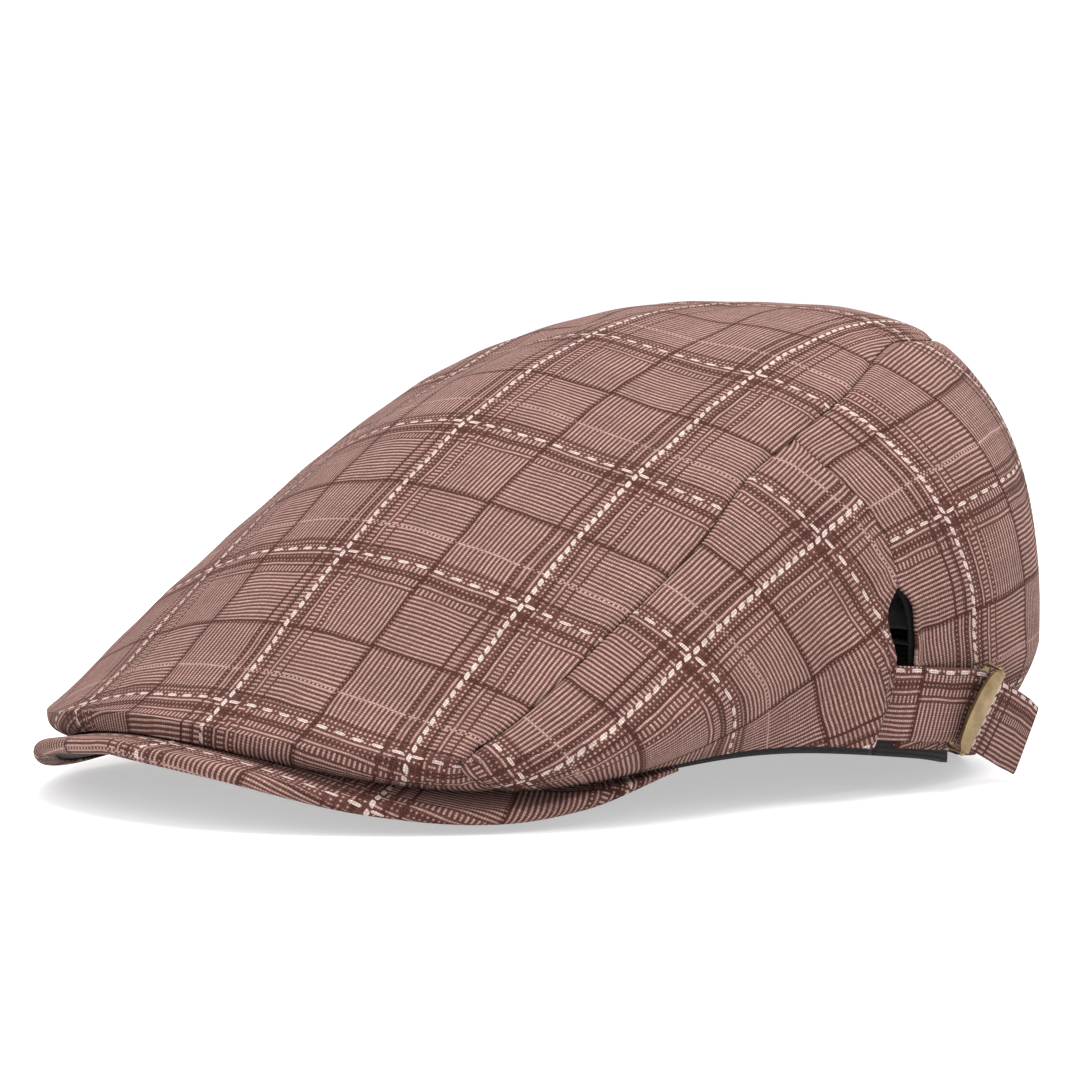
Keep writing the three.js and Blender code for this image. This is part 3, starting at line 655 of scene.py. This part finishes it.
    fibre = g.noise(place, 2600.0, 2.0)
    blotch = g.noise(place, 55.0, 3.0)
    colour = g.mix(dark, LIGHT_YARN, DARK_YARN)
    colour = g.mix(m("MULTIPLY", lines, 0.95), colour, DEEP_YARN)
    colour = g.mix(white, colour, WHITE_YARN)
    # Painted shade: the colour is darker where each thread dips under the next and lighter on its
    # round top. The fibre, blotch and yarn factors multiplied in below are the cloth's own tone.
    painted_shade_and_tone = m("ADD", 0.5, m("MULTIPLY", relief, 0.7))
    for part in (g.remap(fibre, 0.25, 0.75, 0.78, 1.22), g.remap(blotch, 0.3, 0.7, 0.92, 1.08),
                 g.choose(over, yarn_tone(weft, threads_u), yarn_tone(warp, threads_v))):
        painted_shade_and_tone = m("MULTIPLY", painted_shade_and_tone, part)
    grey = g.node("ShaderNodeCombineColor")
    for socket in grey.inputs:
        g.feed(socket, painted_shade_and_tone)
    g.surface(g.mix(1.0, colour, grey.outputs[0], "MULTIPLY"), g.remap(fibre, 0.3, 0.7, 0.82, 0.95))
    g.constants(Sheen_Weight=0.01, Sheen_Roughness=0.5, Specular_IOR_Level=0.05)
    g.bump(height, 0.00022, 0.75)
    return g.material


def weave_material(name, dark, light, thread, rough=0.85, sheen=0.1, twill=0.0):
    """Plain or twill cloth of one colour with a fine relief, painted darker in the dips between its
    threads.
    """
    g = Graph(name)
    m = g.math
    vector, u, v = g.cloth_place()
    a = m("DIVIDE", u, thread)
    b = m("DIVIDE", m("ADD", v, m("MULTIPLY", u, twill)), thread)
    over = m("FLOORED_MODULO", m("ADD", m("FLOOR", a), m("FLOOR", b)), 2.0)
    round_a = m("SINE", m("MULTIPLY", m("FRACT", a), math.pi))
    round_b = m("SINE", m("MULTIPLY", m("FRACT", b), math.pi))
    relief = g.choose(over, round_a, round_b)
    fibre = g.noise(vector, 900.0, 2.0)
    blotch = g.noise(vector, 40.0, 3.0)
    # Painted shade: the round tops of the threads take the light colour and the dips between them the
    # dark one. The fibre and blotch tone mixed in is the cloth's own.
    tone = m("MULTIPLY", m("ADD", m("MULTIPLY", relief, 0.6), m("MULTIPLY", fibre, 0.4)),
             g.remap(blotch, 0.3, 0.7, 0.8, 1.2))
    g.surface(g.mix(tone, dark, light), g.remap(fibre, 0.3, 0.7, rough - 0.06, rough + 0.06))
    g.constants(Sheen_Weight=sheen, Specular_IOR_Level=0.25)
    g.bump(relief, thread * 0.3, 0.6)
    return g.material


def brass_material():
    """Antique brass: brushed, darker where it isn't rubbed."""
    g = Graph("antique_brass")
    place = g.place()
    cloud = g.noise(place, 120.0, 4.0, 0.6)
    grain = g.noise(place, 2400.0, 2.0)
    worn = g.remap(cloud, 0.35, 0.68)
    g.surface(g.mix(worn, (0.15, 0.10, 0.05, 1), (0.30, 0.225, 0.125, 1)),
              g.remap(grain, 0.3, 0.7, 0.34, 0.52))
    g.constants(Metallic=1.0)
    g.bump(grain, 0.00003, 0.4)
    return g.material


def plastic_material():
    g = Graph("brim_plastic")
    speck = g.noise(g.place(), 700.0, 3.0)
    g.surface(g.mix(speck, (0.62, 0.60, 0.54, 1), (0.72, 0.70, 0.65, 1)),
              g.remap(speck, 0.3, 0.7, 0.5, 0.62))
    g.bump(speck, 0.00005, 0.3)
    return g.material


PLAID = plaid_material()
LINING_CLOTH = weave_material("lining_cloth", (0.012, 0.011, 0.011, 1), (0.04, 0.036, 0.036, 1),
                              0.35 * MM, 0.6, 0.2)
BAND_CLOTH = weave_material("sweatband_cloth", (0.004, 0.004, 0.0045, 1), (0.022, 0.02, 0.021, 1),
                            0.6 * MM, 0.88, 0.1, 1.0)
UNDER_CLOTH = weave_material("under_cloth", (0.02, 0.014, 0.012, 1), (0.075, 0.055, 0.05, 1),
                             0.6 * MM)
TAPE_CLOTH = weave_material("dark_tape", (0.003, 0.003, 0.003, 1), (0.014, 0.012, 0.012, 1),
                            0.5 * MM, 0.9, 0.0)
LABEL_CLOTH = weave_material("label_cloth", (0.42, 0.39, 0.34, 1), (0.68, 0.65, 0.58, 1), 0.3 * MM)
BRASS = brass_material()
PLASTIC = plastic_material()


def finish_piece(piece, material, body, node):
    """Gives the piece its material and slot and its body, and hides the CAD node it stands for."""
    piece.data.materials.clear()
    piece.data.materials.append(material)
    # The frame holds materials of the same names, so Blender numbers these
    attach(piece, body)
    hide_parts(node)


# ---- crown


def drop_at_seam(points, normals, distance):
    """Cloth turned in at a seam sinks towards it."""
    return points - normals * (SEAM_DIP * bell(distance, SEAM_WIDE))[..., None]


def millimetres_per_t(psi, t):
    low, high = np.maximum(t - 0.005, 1e-4), np.minimum(t + 0.005, 1.999)
    return np.linalg.norm(crown_plain(psi, high) - crown_plain(psi, low), axis=-1) / (high - low)


def millimetres_per_degree(psi, t):
    return np.linalg.norm(crown_plain(psi + 0.5, t) - crown_plain(psi - 0.5, t), axis=-1)


def crown_top():
    """One panel: rings from the apex to the seam, then the lip that folds down over the brim."""
    columns = np.arange(-180, 180, TOP_STEP)
    edge = seam_t(columns)
    psi, r = np.meshgrid(columns, np.linspace(0, 1, TOP_ROWS + 1)[1:], indexing="ij")
    t = r * edge[:, None]
    points = crown(psi, t)
    distance = (edge[:, None] - t) * millimetres_per_t(psi, t)
    sunk = drop_at_seam(points, outward(crown_plain, psi, t), distance)
    is_seam = np.abs(psi) > LIP_PSI - 1e-6
    points = np.where(is_seam[..., None], sunk, points)
    index = 1 + np.arange(psi.size).reshape(psi.shape)
    closed = np.concatenate([index, index[:1]])
    faces = [[0, int(a), int(b)] for a, b in zip(closed[:-1, 0], closed[1:, 0])]
    faces += quad_faces(closed, columns_first=True)

    lip_columns = np.where(np.abs(columns) <= LIP_PSI + 1e-6)[0]
    lip_start = LIP_SEAM[0][0]
    lip_t = lip_start + (2 - lip_start) * np.linspace(0, 1, LIP_ROWS + 1)[1:]
    lip_psi, lip_rows = np.meshgrid(columns[lip_columns], lip_t, indexing="ij")
    scaled = lip_psi * along(LIP_SEAM, lip_rows) / LIP_PSI
    side_gap = ((along(LIP_SEAM, lip_rows) - np.abs(scaled))
                * millimetres_per_degree(scaled, lip_rows))
    lip = drop_at_seam(crown(scaled, lip_rows), outward(crown_plain, scaled, lip_rows), side_gap)
    lip_index = 1 + psi.size + np.arange(lip_psi.size).reshape(lip_psi.shape)
    lip_index = np.concatenate([index[lip_columns, -1][:, None], lip_index], 1)
    faces += quad_faces(lip_index, columns_first=True)
    points = np.concatenate([crown(0.0, 0.0)[None], points.reshape(-1, 3), lip.reshape(-1, 3)])
    piece = mesh_object("crown_top_cloth", points, faces, np.zeros((len(points), 2)))
    face_out(piece, (0, 0, 20))
    flatten_cloth(piece, (9, -45, 89), (3, 20, 112), (0, 0))
    return piece


def between_edges(u, v, top, rim, start, end):
    """Fills a four-sided patch from the values on its four edges."""
    return ((1 - v) * top + v * rim + (1 - u) * start + u * end
            - (1 - u) * (1 - v) * start[:, :1] - u * (1 - v) * end[:, :1]
            - (1 - u) * v * start[:, -1:] - u * v * end[:, -1:])


def edge_dip(t, gap, open_below):
    """How far a panel's cloth sinks at distance gap from its edge. An edge that opens into the
    keyhole is puckered beside the seam and has a raised hem beside the hole."""
    dip = SEAM_DIP * bell(gap, SEAM_WIDE)
    if not open_below:
        return dip
    sewn = smooth((KEY_TOP - t) / SEWN_OVER)
    wave = (np.sin(t * PUCKER_RATE) * bell(gap - 2.5, 3.5)
            + 0.6 * np.sin(t * PUCKER_RATE * 0.61 + 1) * bell(gap - 6, 6))
    puckers = PUCKER_HIGH * wave * smooth((PUCKER_END - t) / PUCKER_FADE)
    hem = (1 - sewn) * (HEM_RISE * bell(gap - HEM_AT, HEM_AT) - HEM_DROP * bell(gap, HEM_EDGE))
    return dip * sewn + puckers - hem


def wall(name, surface, side, psi_range, edges, counts, keyhole, cloth):
    """Panel between the top seam and the rim. edges give psi at height t on its two sides."""
    from_psi, to_psi = psi_range
    u = np.linspace(0, 1, counts[0])[:, None]
    v = np.linspace(0, 1, counts[1])[None, :]
    top_psi = from_psi + (to_psi - from_psi) * u
    top_t = seam_t(top_psi) - TUCK_UNDER
    start_t = top_t[0] + (2 - top_t[0]) * v
    end_t = top_t[-1] + (2 - top_t[-1]) * v
    start_psi, end_psi = edges[0](start_t), edges[1](end_t)
    rim_psi = start_psi[:, -1:] + (end_psi[:, -1:] - start_psi[:, -1:]) * u
    psi = between_edges(u, v, top_psi, rim_psi, start_psi, end_psi)
    t = np.clip(between_edges(u, v, top_t, 2.0, start_t, end_t), 0.01, 2)
    normals = outward(crown_plain, psi * side, t)
    per_degree = millimetres_per_degree(psi, t)
    below_seam = (t - seam_t(psi)) * millimetres_per_t(psi, t)
    points = drop_at_seam(surface(psi * side, t), normals, below_seam)
    points = points - normals * (TUCK_DEEP * smooth(-below_seam / TUCK_OVER))[..., None]
    gaps = {"start": (psi - edges[0](t)) * per_degree, "end": (edges[1](t) - psi) * per_degree}
    for edge, gap in gaps.items():
        points = points - normals * edge_dip(t, gap, keyhole == edge)[..., None]
    piece = grid_object(name, points)
    face_out(piece, (0, 0, 20))
    flatten_cloth(piece, *cloth)
    return piece


def lip_edge(t):
    """Front edge of the side panel, where it meets the lip."""
    return along(LIP_SEAM, np.maximum(t, LIP_SEAM[0][0])) + 0.05


def back_edge(t):
    return np.full_like(t, WALL_END)


def crown_walls():
    """The side panels and rear halves. Only the wearer's left has a keyhole."""
    made = {}
    for side, hand in ((1, "left"), (-1, "right")):
        keyhole = side > 0
        made[f"side_{hand}"] = wall(
            f"side_{hand}_cloth", flared if keyhole else crown, side, (LIP_PSI, SIDE_PSI),
            (lip_edge, partial(side_edge, way=-1, keyhole=keyhole)), SIDE_GRID,
            "end" if keyhole else None, ((94 * side, -36, 49), (93 * side, 4, 70), (0, 21)))
        made[f"rear_{hand}"] = wall(
            f"rear_{hand}_cloth", pressed if keyhole else crown, side, (SIDE_PSI, WALL_END),
            (partial(side_edge, way=1, keyhole=keyhole), back_edge), REAR_GRID,
            "start" if keyhole else None, ((103 * side, 36, 27), (99 * side, 27, 68), (0, 8)))
    return made


# ---- brim


def brim_layer(psi, w, depth):
    """Points below the brim's upper face."""
    return brim_top(psi, w) - brim_out(psi, np.maximum(w, 0.1)) * depth[..., None]


def brim_pieces():
    """The cover, turned round the edge; the under cover; the board between them."""
    psi = np.linspace(-BRIM_PSI, BRIM_PSI, 161)[:, None]
    wide = along(BRIM_OUT, np.abs(psi)) - along(BRIM_IN, np.abs(psi))
    thin = smooth((np.abs(psi) - BRIM_THIN_PSI) / (BRIM_PSI - BRIM_THIN_PSI))
    thick = BRIM_THICK + (BRIM_END_THICK - BRIM_THICK) * thin
    end_w = 1 - thick / 2 / wide
    flat = np.linspace(0, 1, 41)[None, :]
    top_w = flat * end_w
    top = brim_top(psi, top_w)
    normals = brim_out(psi, np.maximum(top_w, 0.1))
    last, last_out = top[:, -1:], normals[:, -1:]
    away = brim_top(psi, end_w) - brim_top(psi, end_w - 0.02)
    away = away / np.linalg.norm(away, axis=-1, keepdims=True)
    turn = np.radians(np.linspace(0, 180, 13)[1:])[None, :, None]
    radius = (thick / 2)[..., None]
    centre = last - last_out * radius
    edge = centre + last_out * radius * np.cos(turn) + away * radius * np.sin(turn)
    under = edge[:, -1:] - away * np.linspace(0, BRIM_TURN_UNDER, 5)[1:][None, :, None]
    cover = grid_object("brim_cover", np.concatenate([top, edge, under], 1))
    face_out(cover, (0, -110, 6))
    flatten_cloth(cover, (0, -120, 20), (0, -140, 19), (9.6, 30))
    thicken(cover, BRIM_CLOTH)

    start = BELOW_IN / wide
    w = start + flat * (1 - BELOW_OUT / wide) * (1 - start)
    below = thick_sheet("brim_under", brim_layer(psi, w, thick - BELOW_UP), BRIM_CLOTH, (0, -110, 60))

    kept = np.abs(psi[:, 0]) < BOARD_PSI
    w = (BOARD_IN / wide + (1 - (BOARD_IN + BOARD_OUT) / wide) * flat)[kept]
    board = thick_sheet("brim_stiffener", brim_layer(psi[kept], w, thick[kept] * BOARD_DEEP),
                        BOARD_THICK, (0, -110, 6))
    return cover, below, board


# ---- inside


def patch_grid(first, second, counts):
    """Two grids of evenly spaced values over the two ranges."""
    return np.meshgrid(np.linspace(*first, counts[0]), np.linspace(*second, counts[1]), indexing="ij")


def lining_point(psi, t):
    return dome(LINING, LINING_Y, LINING_Z, psi, t)


def lining_pieces():
    """The lining's top and its two sides; the left one is cut away behind the keyhole."""
    psi, r = patch_grid((-180, 180), (0.02, 1), (121, 30))
    top = grid_object("lining_top_cloth", lining_point(psi, r * (LINING_SEAM - LINING_HALF_GAP)))
    apex = (Vector((0, LINING_Y, 0)) + Vector(SHIFT)) * MM
    near = 8 * MM
    with editing(top) as bm:
        bmesh.ops.remove_doubles(bm, verts=bm.verts, dist=1e-6)
        hole = [e for e in bm.edges if e.is_boundary and
                all(abs(v.co.y - apex.y) < near and abs(v.co.x - apex.x) < near for v in e.verts)]
        bmesh.ops.contextual_create(bm, geom=hole)
    face_out(top, (0, 0, 0))
    thicken(top, LINER_CLOTH)
    sides = []
    rows = np.concatenate([np.linspace(LINING_SEAM + LINING_HALF_GAP, 1, 24),
                           np.linspace(1, 2, 8)[1:]])
    psi, t = np.meshgrid(np.linspace(0.2, 179.8, 131), rows, indexing="ij")
    for side, hand in ((1, "left"), (-1, "right")):
        piece = grid_object(f"lining_{hand}_cloth", lining_point(psi * side, t))
        if side > 0:
            half, from_t = LINING_HOLE
            cut_away(piece, lambda at: abs(at[0] - KEY_PSI) < half and at[1] > from_t, psi, t)
        face_out(piece, (0, 0, 40))
        thicken(piece, LINER_CLOTH)
        sides.append(piece)
    return top, sides


def band_bottom(psi):
    """The sweatband hangs below the rim at the sides only."""
    a = np.abs(psi)
    side = smooth((a - 40) / 22) - smooth((a - 125) / 25)
    front = 1 - smooth((a - 20) / 42)
    return np.maximum(np.maximum(around(CROWN["rim_z"], a), 0) - BAND_BELOW * side + 1.4 * front, 0.3)


def folded(psi):
    """Degrees from the front, either way round."""
    return np.abs((psi + 180) % 360 - 180)


def sweatband():
    """One strip all round, with its upper part cut away at the keyhole."""
    psi, rows = patch_grid((BAND_FROM, BAND_TO), (0, 1), (289, 24))
    z = band_bottom(folded(psi)) + BAND_MARGIN + (BAND_TALL - 2 * BAND_MARGIN) * rows
    wave = BAND_WAVE * np.sin(rows * 9) * np.sin(psi / 3.1)
    radius = around(BAND, folded(psi)) - BAND_INSET + wave
    piece = grid_object("sweatband_cloth", polar(radius, psi, z))
    cut_away(piece, lambda at: BAND_CUT[0] < at[0] < BAND_CUT[1] and at[1] > BAND_JOINED, psi, rows)
    face_out(piece, (0, 0, 20))
    thicken(piece, BAND_THICK)
    return piece


def behind_crown(psi, t):
    """Points inside the crown cloth."""
    return crown_plain(psi, t) - outward(crown_plain, psi, t) * (CLOTH + TRIM_DEEP)


def keyhole_facing():
    """A narrow strip round the keyhole's arch, then down both of its sides."""
    steps = np.linspace(-2, 2, 61)[:, None]
    arch = np.minimum(np.abs(steps), 1) * np.pi / 2
    wide = np.linspace(*FACING_WIDE, 7)[None, :]
    across = np.sign(steps) * np.sin(arch) * (KEY_HALF + wide)
    tip = KEY_TOP - wide * 0.016
    t = np.where(np.abs(steps) <= 1, tip + (KEY_SHOULDER - tip) * (1 - np.cos(arch)),
                 KEY_SHOULDER + (FACING_END - KEY_SHOULDER) * (np.abs(steps) - 1))
    return thick_sheet("keyhole_facing_cloth", behind_crown(KEY_PSI + across, t), FACING_THICK)


def small_trims():
    """Keyhole facing, seam tape, size label and anchor tab."""
    facing = keyhole_facing()
    tape_points = behind_crown(*patch_grid(TAPE_PSI, TAPE_T, (9, 50)))
    tape = thick_sheet("seam_tape_cloth", tape_points, TAPE_THICK)
    psi, z = patch_grid(LABEL_PSI, LABEL_Z, (25, 12))
    label_points = polar(around(BAND, folded(psi)) - LABEL_INSET, psi, z)
    label = thick_sheet("size_label_cloth", label_points, LABEL_THICK)
    psi, t = patch_grid(TAB_PSI, TAB_T, (9, 13))
    tab_points = pressed(psi, t) + outward(crown_plain, psi, t) * TAB_HIGH
    return facing, tape, label, thick_sheet("anchor_tab_cloth", tab_points, TAB_THICK)


# ---- strap and buckle


def tilted(points):
    """From the strap's own frame to the cap's frame."""
    a = -math.radians(STRAP_TILT)
    turn = np.array([[1, 0, 0], [0, math.cos(a), -math.sin(a)], [0, math.sin(a), math.cos(a)]])
    return points @ turn.T + np.array(STRAP_CENTRE)


def strap_axes(heading, droop):
    """Along, across and out of the strap, in its own frame."""
    lean = math.radians(STRAP_LEAN)
    radial = np.array([math.cos(heading), math.sin(heading), 0])
    forward = np.array([-math.sin(heading), math.cos(heading), 0])
    up = np.array([0, 0, math.cos(lean)]) + radial * math.sin(lean)
    out = radial * math.cos(lean) - np.array([0, 0, math.sin(lean)])
    along_axis = forward * math.cos(droop) - up * math.sin(droop)
    across = up * math.cos(droop) + forward * math.sin(droop)
    return along_axis, across, out


def droop_at(from_pin):
    """The strap starts to droop as it passes the pin."""
    return math.radians(STRAP_DROOP) * float(smooth((from_pin + STRAP_BEND) / (2 * STRAP_BEND)))


def strap_frames(count):
    """Places, axes and shares of the length, from the sewn end to the tail's end."""
    arc = math.radians(STRAP_ARC_END - STRAP_START) * STRAP_R
    total = arc + STRAP_TAIL
    pin = math.radians(PIN_AT - STRAP_START) * STRAP_R
    start = math.radians(STRAP_START)

    def axes(s):
        heading = start + min(s, arc) / STRAP_R + max(s - arc, 0) / STRAP_TAIL_R
        return strap_axes(heading, droop_at(s - pin))

    place = np.array([math.cos(start), math.sin(start), 0]) * STRAP_R
    step = total / count
    frames = []
    for i in range(count + 1):
        frames.append((place.copy(), *axes(i * step), i * step / total))
        place = place + axes((i + 0.5) * step)[0] * step
    return frames, total


def strap_piece():
    """Folded strip of plaid with soft, slightly raised hems; the tail's end is cut on a slant."""
    frames, total = strap_frames(STRAP_STEPS)
    half = STRAP_WIDE / 2
    turn = np.radians(np.arange(0, 360, STRAP_RING_STEP))
    c, s = np.cos(turn), np.sin(turn)
    across = np.sign(c) * np.abs(c) ** 0.35 * half
    out = np.sign(s) * np.abs(s) ** 0.8 * STRAP_THICK / 2
    rise, from_edge, wide = STRAP_HEM
    hem = 1 + rise * bell(np.abs(across) - half + from_edge, wide)
    rings, uvs = [], []
    for place, forward, up, outwards, part in frames:
        end = smooth((part - STRAP_SLANT_FROM) / (1 - STRAP_SLANT_FROM))
        closing = smooth((part - STRAP_ROUND_FROM) / (1 - STRAP_ROUND_FROM))
        pinch = math.sqrt(1 - closing * 0.75)
        slant = STRAP_SLANT * end * (across / half + 1) / 2
        rings.append(place + np.outer(across, up) * (1 - 0.05 * end)
                     + np.outer(out * hem * pinch, outwards) - np.outer(slant, forward))
        uvs.append(np.stack([np.full_like(across, STRAP_STRIPE - part * total),
                             across - half + 0.9], 1))
    points = tilted(np.array(rings))
    index = np.arange(points[..., 0].size).reshape(points.shape[:2])
    faces = quad_faces(np.concatenate([index, index[:, :1]], 1))
    faces += [index[0, ::-1].tolist(), index[-1].tolist()]
    uv = np.array(uvs).reshape(-1, 2) * MM
    piece = mesh_object("strap_cloth", points.reshape(-1, 3), faces, uv)
    with editing(piece) as bm:
        bmesh.ops.recalc_face_normals(bm, faces=bm.faces)
    return piece, total


def buckle_place(local):
    """From the buckle's frame (out, back, along the pin) to the cap's frame."""
    heading = math.radians(PIN_AT)
    back, across, out = strap_axes(heading, math.radians(STRAP_DROOP))
    centre = np.array([math.cos(heading), math.sin(heading), 0]) * STRAP_R
    local = np.asarray(local, float)
    return tilted(centre + local[..., :1] * out + local[..., 1:2] * back
                  + local[..., 2:] * across)


def lever_piece():
    """Half-moon thumb plate, domed along its length, rolled round the pin at its back. The roll is
    kept between the frame's ears."""
    z = np.linspace(-1, 1, 65)[:, None]
    v = np.linspace(0, 1, 21)[None, :]
    rounds = np.clip(1 - z ** 2, 0, 1)
    reach = LEVER_DEPTH * np.sqrt(LEVER_BLUNT + (1 - LEVER_BLUNT) * rounds)
    back = PIN_BACK - reach * v
    at_ears = smooth((np.abs(z) * LEVER_HALF - LEVER_EAR_AT) / 0.5)
    hub = PIN_R + LEVER_GAP + LEVER_EAR_GAP * at_ears + LEVER_THICK
    out = PIN_OUT + hub + LEVER_ARCH * rounds * v - LEVER_DIP * v * v
    roll = np.linspace(0, 1, 9)[1:][None, :] * math.pi * (0.75 - 0.7 * at_ears)
    back = np.concatenate([(PIN_BACK + hub * np.sin(roll))[:, ::-1], back], 1)
    out = np.concatenate([(PIN_OUT + hub * np.cos(roll))[:, ::-1], out], 1)
    local = np.stack([out, back, LEVER_HALF * z + 0 * out], -1)
    piece = thick_sheet("buckle_thumb_plate", buckle_place(local), LEVER_THICK,
                        tuple(buckle_place(np.array([-8.0, 0.0, 0.0]))))
    bevel = piece.modifiers.new("round", "BEVEL")
    bevel.width = LEVER_EDGE * MM
    bevel.segments = 3
    bevel.limit_method = "ANGLE"
    bevel.angle_limit = math.radians(50)
    apply_modifier(piece, bevel)
    return piece


def buckle_strip():
    """The buckle's frame: one strip bent up at both ends, narrowed to round ears at the pin."""
    bend, half = FRAME_BEND, FRAME_HALF
    angles = np.radians(np.linspace(0, 90, 7))
    low = [(out, -half) for out in np.linspace(PIN_OUT + FRAME_EAR_UP, FRAME_LOW + bend, 13)]
    low += [(FRAME_LOW + bend * (1 - math.sin(a)), -half + bend * (1 - math.cos(a)))
            for a in angles[1:]]
    flat = [(FRAME_LOW, z) for z in np.linspace(-half + bend, half - bend, 25)[1:-1]]
    path = np.array(low + flat + [(out, -z) for out, z in low[::-1]])
    round_end = np.sqrt(1 - np.clip((path[:, 0] - PIN_OUT) / 1.1, 0, 0.95) ** 2)
    in_plate = smooth((9.4 - np.abs(path[:, 1])) / 1.6)
    wide = (EAR_HALF + PLATE_EXTRA * in_plate) * round_end
    across = np.linspace(-1, 1, 9)[None, :]
    back = (PIN_BACK * (1 - in_plate))[:, None] + wide[:, None] * across
    local = np.stack([path[:, :1] + 0 * across, back, path[:, 1:] + 0 * across], -1)
    return thick_sheet("buckle_strip", buckle_place(local), FRAME_THICK,
                       tuple(buckle_place(np.array([2.0, 1.0, 0.0]))))


# ---- build

top = crown_top()
walls = crown_walls()
for sheet_piece in (top, *walls.values()):
    thicken(sheet_piece, CLOTH)
cover, below, board = brim_pieces()
lining_top, lining_sides = lining_pieces()
band = sweatband()
facing, tape, label, tab = small_trims()
strap, strap_long = strap_piece()
lever = lever_piece()
strip = buckle_strip()

finish_piece(top, PLAID, "cap", "crown_top_panel")
for hand in ("left", "right"):
    finish_piece(walls[f"side_{hand}"], PLAID, "cap", f"side_panel_{hand}")
    finish_piece(walls[f"rear_{hand}"], PLAID, "cap", f"rear_panel_{hand}")
for piece, material, body, node in (
        (cover, PLAID, "cap", "brim_cover_top"),
        (below, UNDER_CLOTH, "cap", "brim_cover_under"),
        (lining_top, LINING_CLOTH, "cap", "lining_top"),
        (lining_sides[0], LINING_CLOTH, "cap", "lining_left"),
        (lining_sides[1], LINING_CLOTH, "cap", "lining_right"),
        (band, BAND_CLOTH, "cap", "sweatband"),
        (facing, TAPE_CLOTH, "cap", "keyhole_facing"),
        (tape, TAPE_CLOTH, "cap", "rear_seam_tape"),
        (label, LABEL_CLOTH, "cap", "size_label"),
        (tab, TAPE_CLOTH, "buckle", "anchor_tab"),
        (strap, PLAID, "cap", "adjuster_strap"),
        (lever, BRASS, "lever", "buckle_lever"),
        (strip, BRASS, "buckle", "buckle_frame"),
        (board, PLASTIC, "cap", "brim_board")):
    finish_piece(piece, material, body, node)

pin = frame["nodes"]["buckle_pin"]
pin.data.materials.clear()
pin.data.materials.append(BRASS)

# ---- stage, light and camera


FLOOR_GREY, FLOOR_GLOW = 0.66, 0.48  # the glow lightens the shadow
SKY = 1.06
KEY_LIGHT = dict(direction=(112, 79), distance=2.2, size=1.7, power=74)
FILL_LIGHT = dict(direction=(5, 38), distance=2.5, size=2.0, power=13)
CAMERA_AZIMUTH, CAMERA_ELEVATION = 46.5, 4.2
CAMERA_DISTANCE = 950.0
CAMERA_TARGET = np.array([0.0, -12.0, 54.0])
CAMERA_RAISE = 3.8  # the camera looks at a point this far above the target
CAMERA_LENS = 125.4


def toward(azimuth, elevation):
    """Unit vector: azimuth from the front towards the wearer's left, in degrees."""
    a, e = math.radians(azimuth), math.radians(elevation)
    return np.array([math.sin(a) * math.cos(e), -math.cos(a) * math.cos(e), math.sin(e)])


def floor():
    bpy.ops.mesh.primitive_plane_add(size=12, location=(0, 0, 0))
    plane = bpy.context.object
    plane.name = "floor"
    g = Graph("floor_white")
    g.constants(Base_Color=(FLOOR_GREY, FLOOR_GREY, FLOOR_GREY, 1), Emission_Color=(1, 1, 1, 1),
                Emission_Strength=FLOOR_GLOW, Roughness=0.9, Specular_IOR_Level=0.1)
    plane.data.materials.append(g.material)


def soft_light(name, direction, distance, size, power):
    light = bpy.data.lights.new(name, "AREA")
    light.size = size
    light.energy = power
    lamp = bpy.data.objects.new(name, light)
    lamp.location = Vector(toward(*direction) * distance)
    aim = Vector((0, 0, 0.05)) - lamp.location
    lamp.rotation_euler = aim.to_track_quat("-Z", "Y").to_euler()
    bpy.context.scene.collection.objects.link(lamp)


def world():
    sky = bpy.data.worlds.new("studio")
    sky.use_nodes = True
    background = sky.node_tree.nodes["Background"]
    background.inputs["Color"].default_value = (1, 1, 1, 1)
    background.inputs["Strength"].default_value = SKY
    bpy.context.scene.world = sky


def camera():
    data = bpy.data.cameras.new("camera")
    data.lens = CAMERA_LENS
    data.sensor_width = 36.0
    data.clip_end = 50.0
    eye = bpy.data.objects.new("camera", data)
    back = toward(CAMERA_AZIMUTH, CAMERA_ELEVATION)
    up = toward(CAMERA_AZIMUTH + 180, 90 - CAMERA_ELEVATION)
    target = CAMERA_TARGET + up * CAMERA_RAISE + SHIFT
    eye.location = Vector((CAMERA_TARGET + back * CAMERA_DISTANCE + SHIFT) * MM)
    eye.rotation_euler = (Vector(target * MM) - eye.location).to_track_quat("-Z", "Y").to_euler()
    bpy.context.scene.collection.objects.link(eye)
    bpy.context.scene.camera = eye


floor()
world()
soft_light("key", **KEY_LIGHT)
soft_light("fill", **FILL_LIGHT)
camera()
bpy.context.scene.view_settings.view_transform = "Standard"
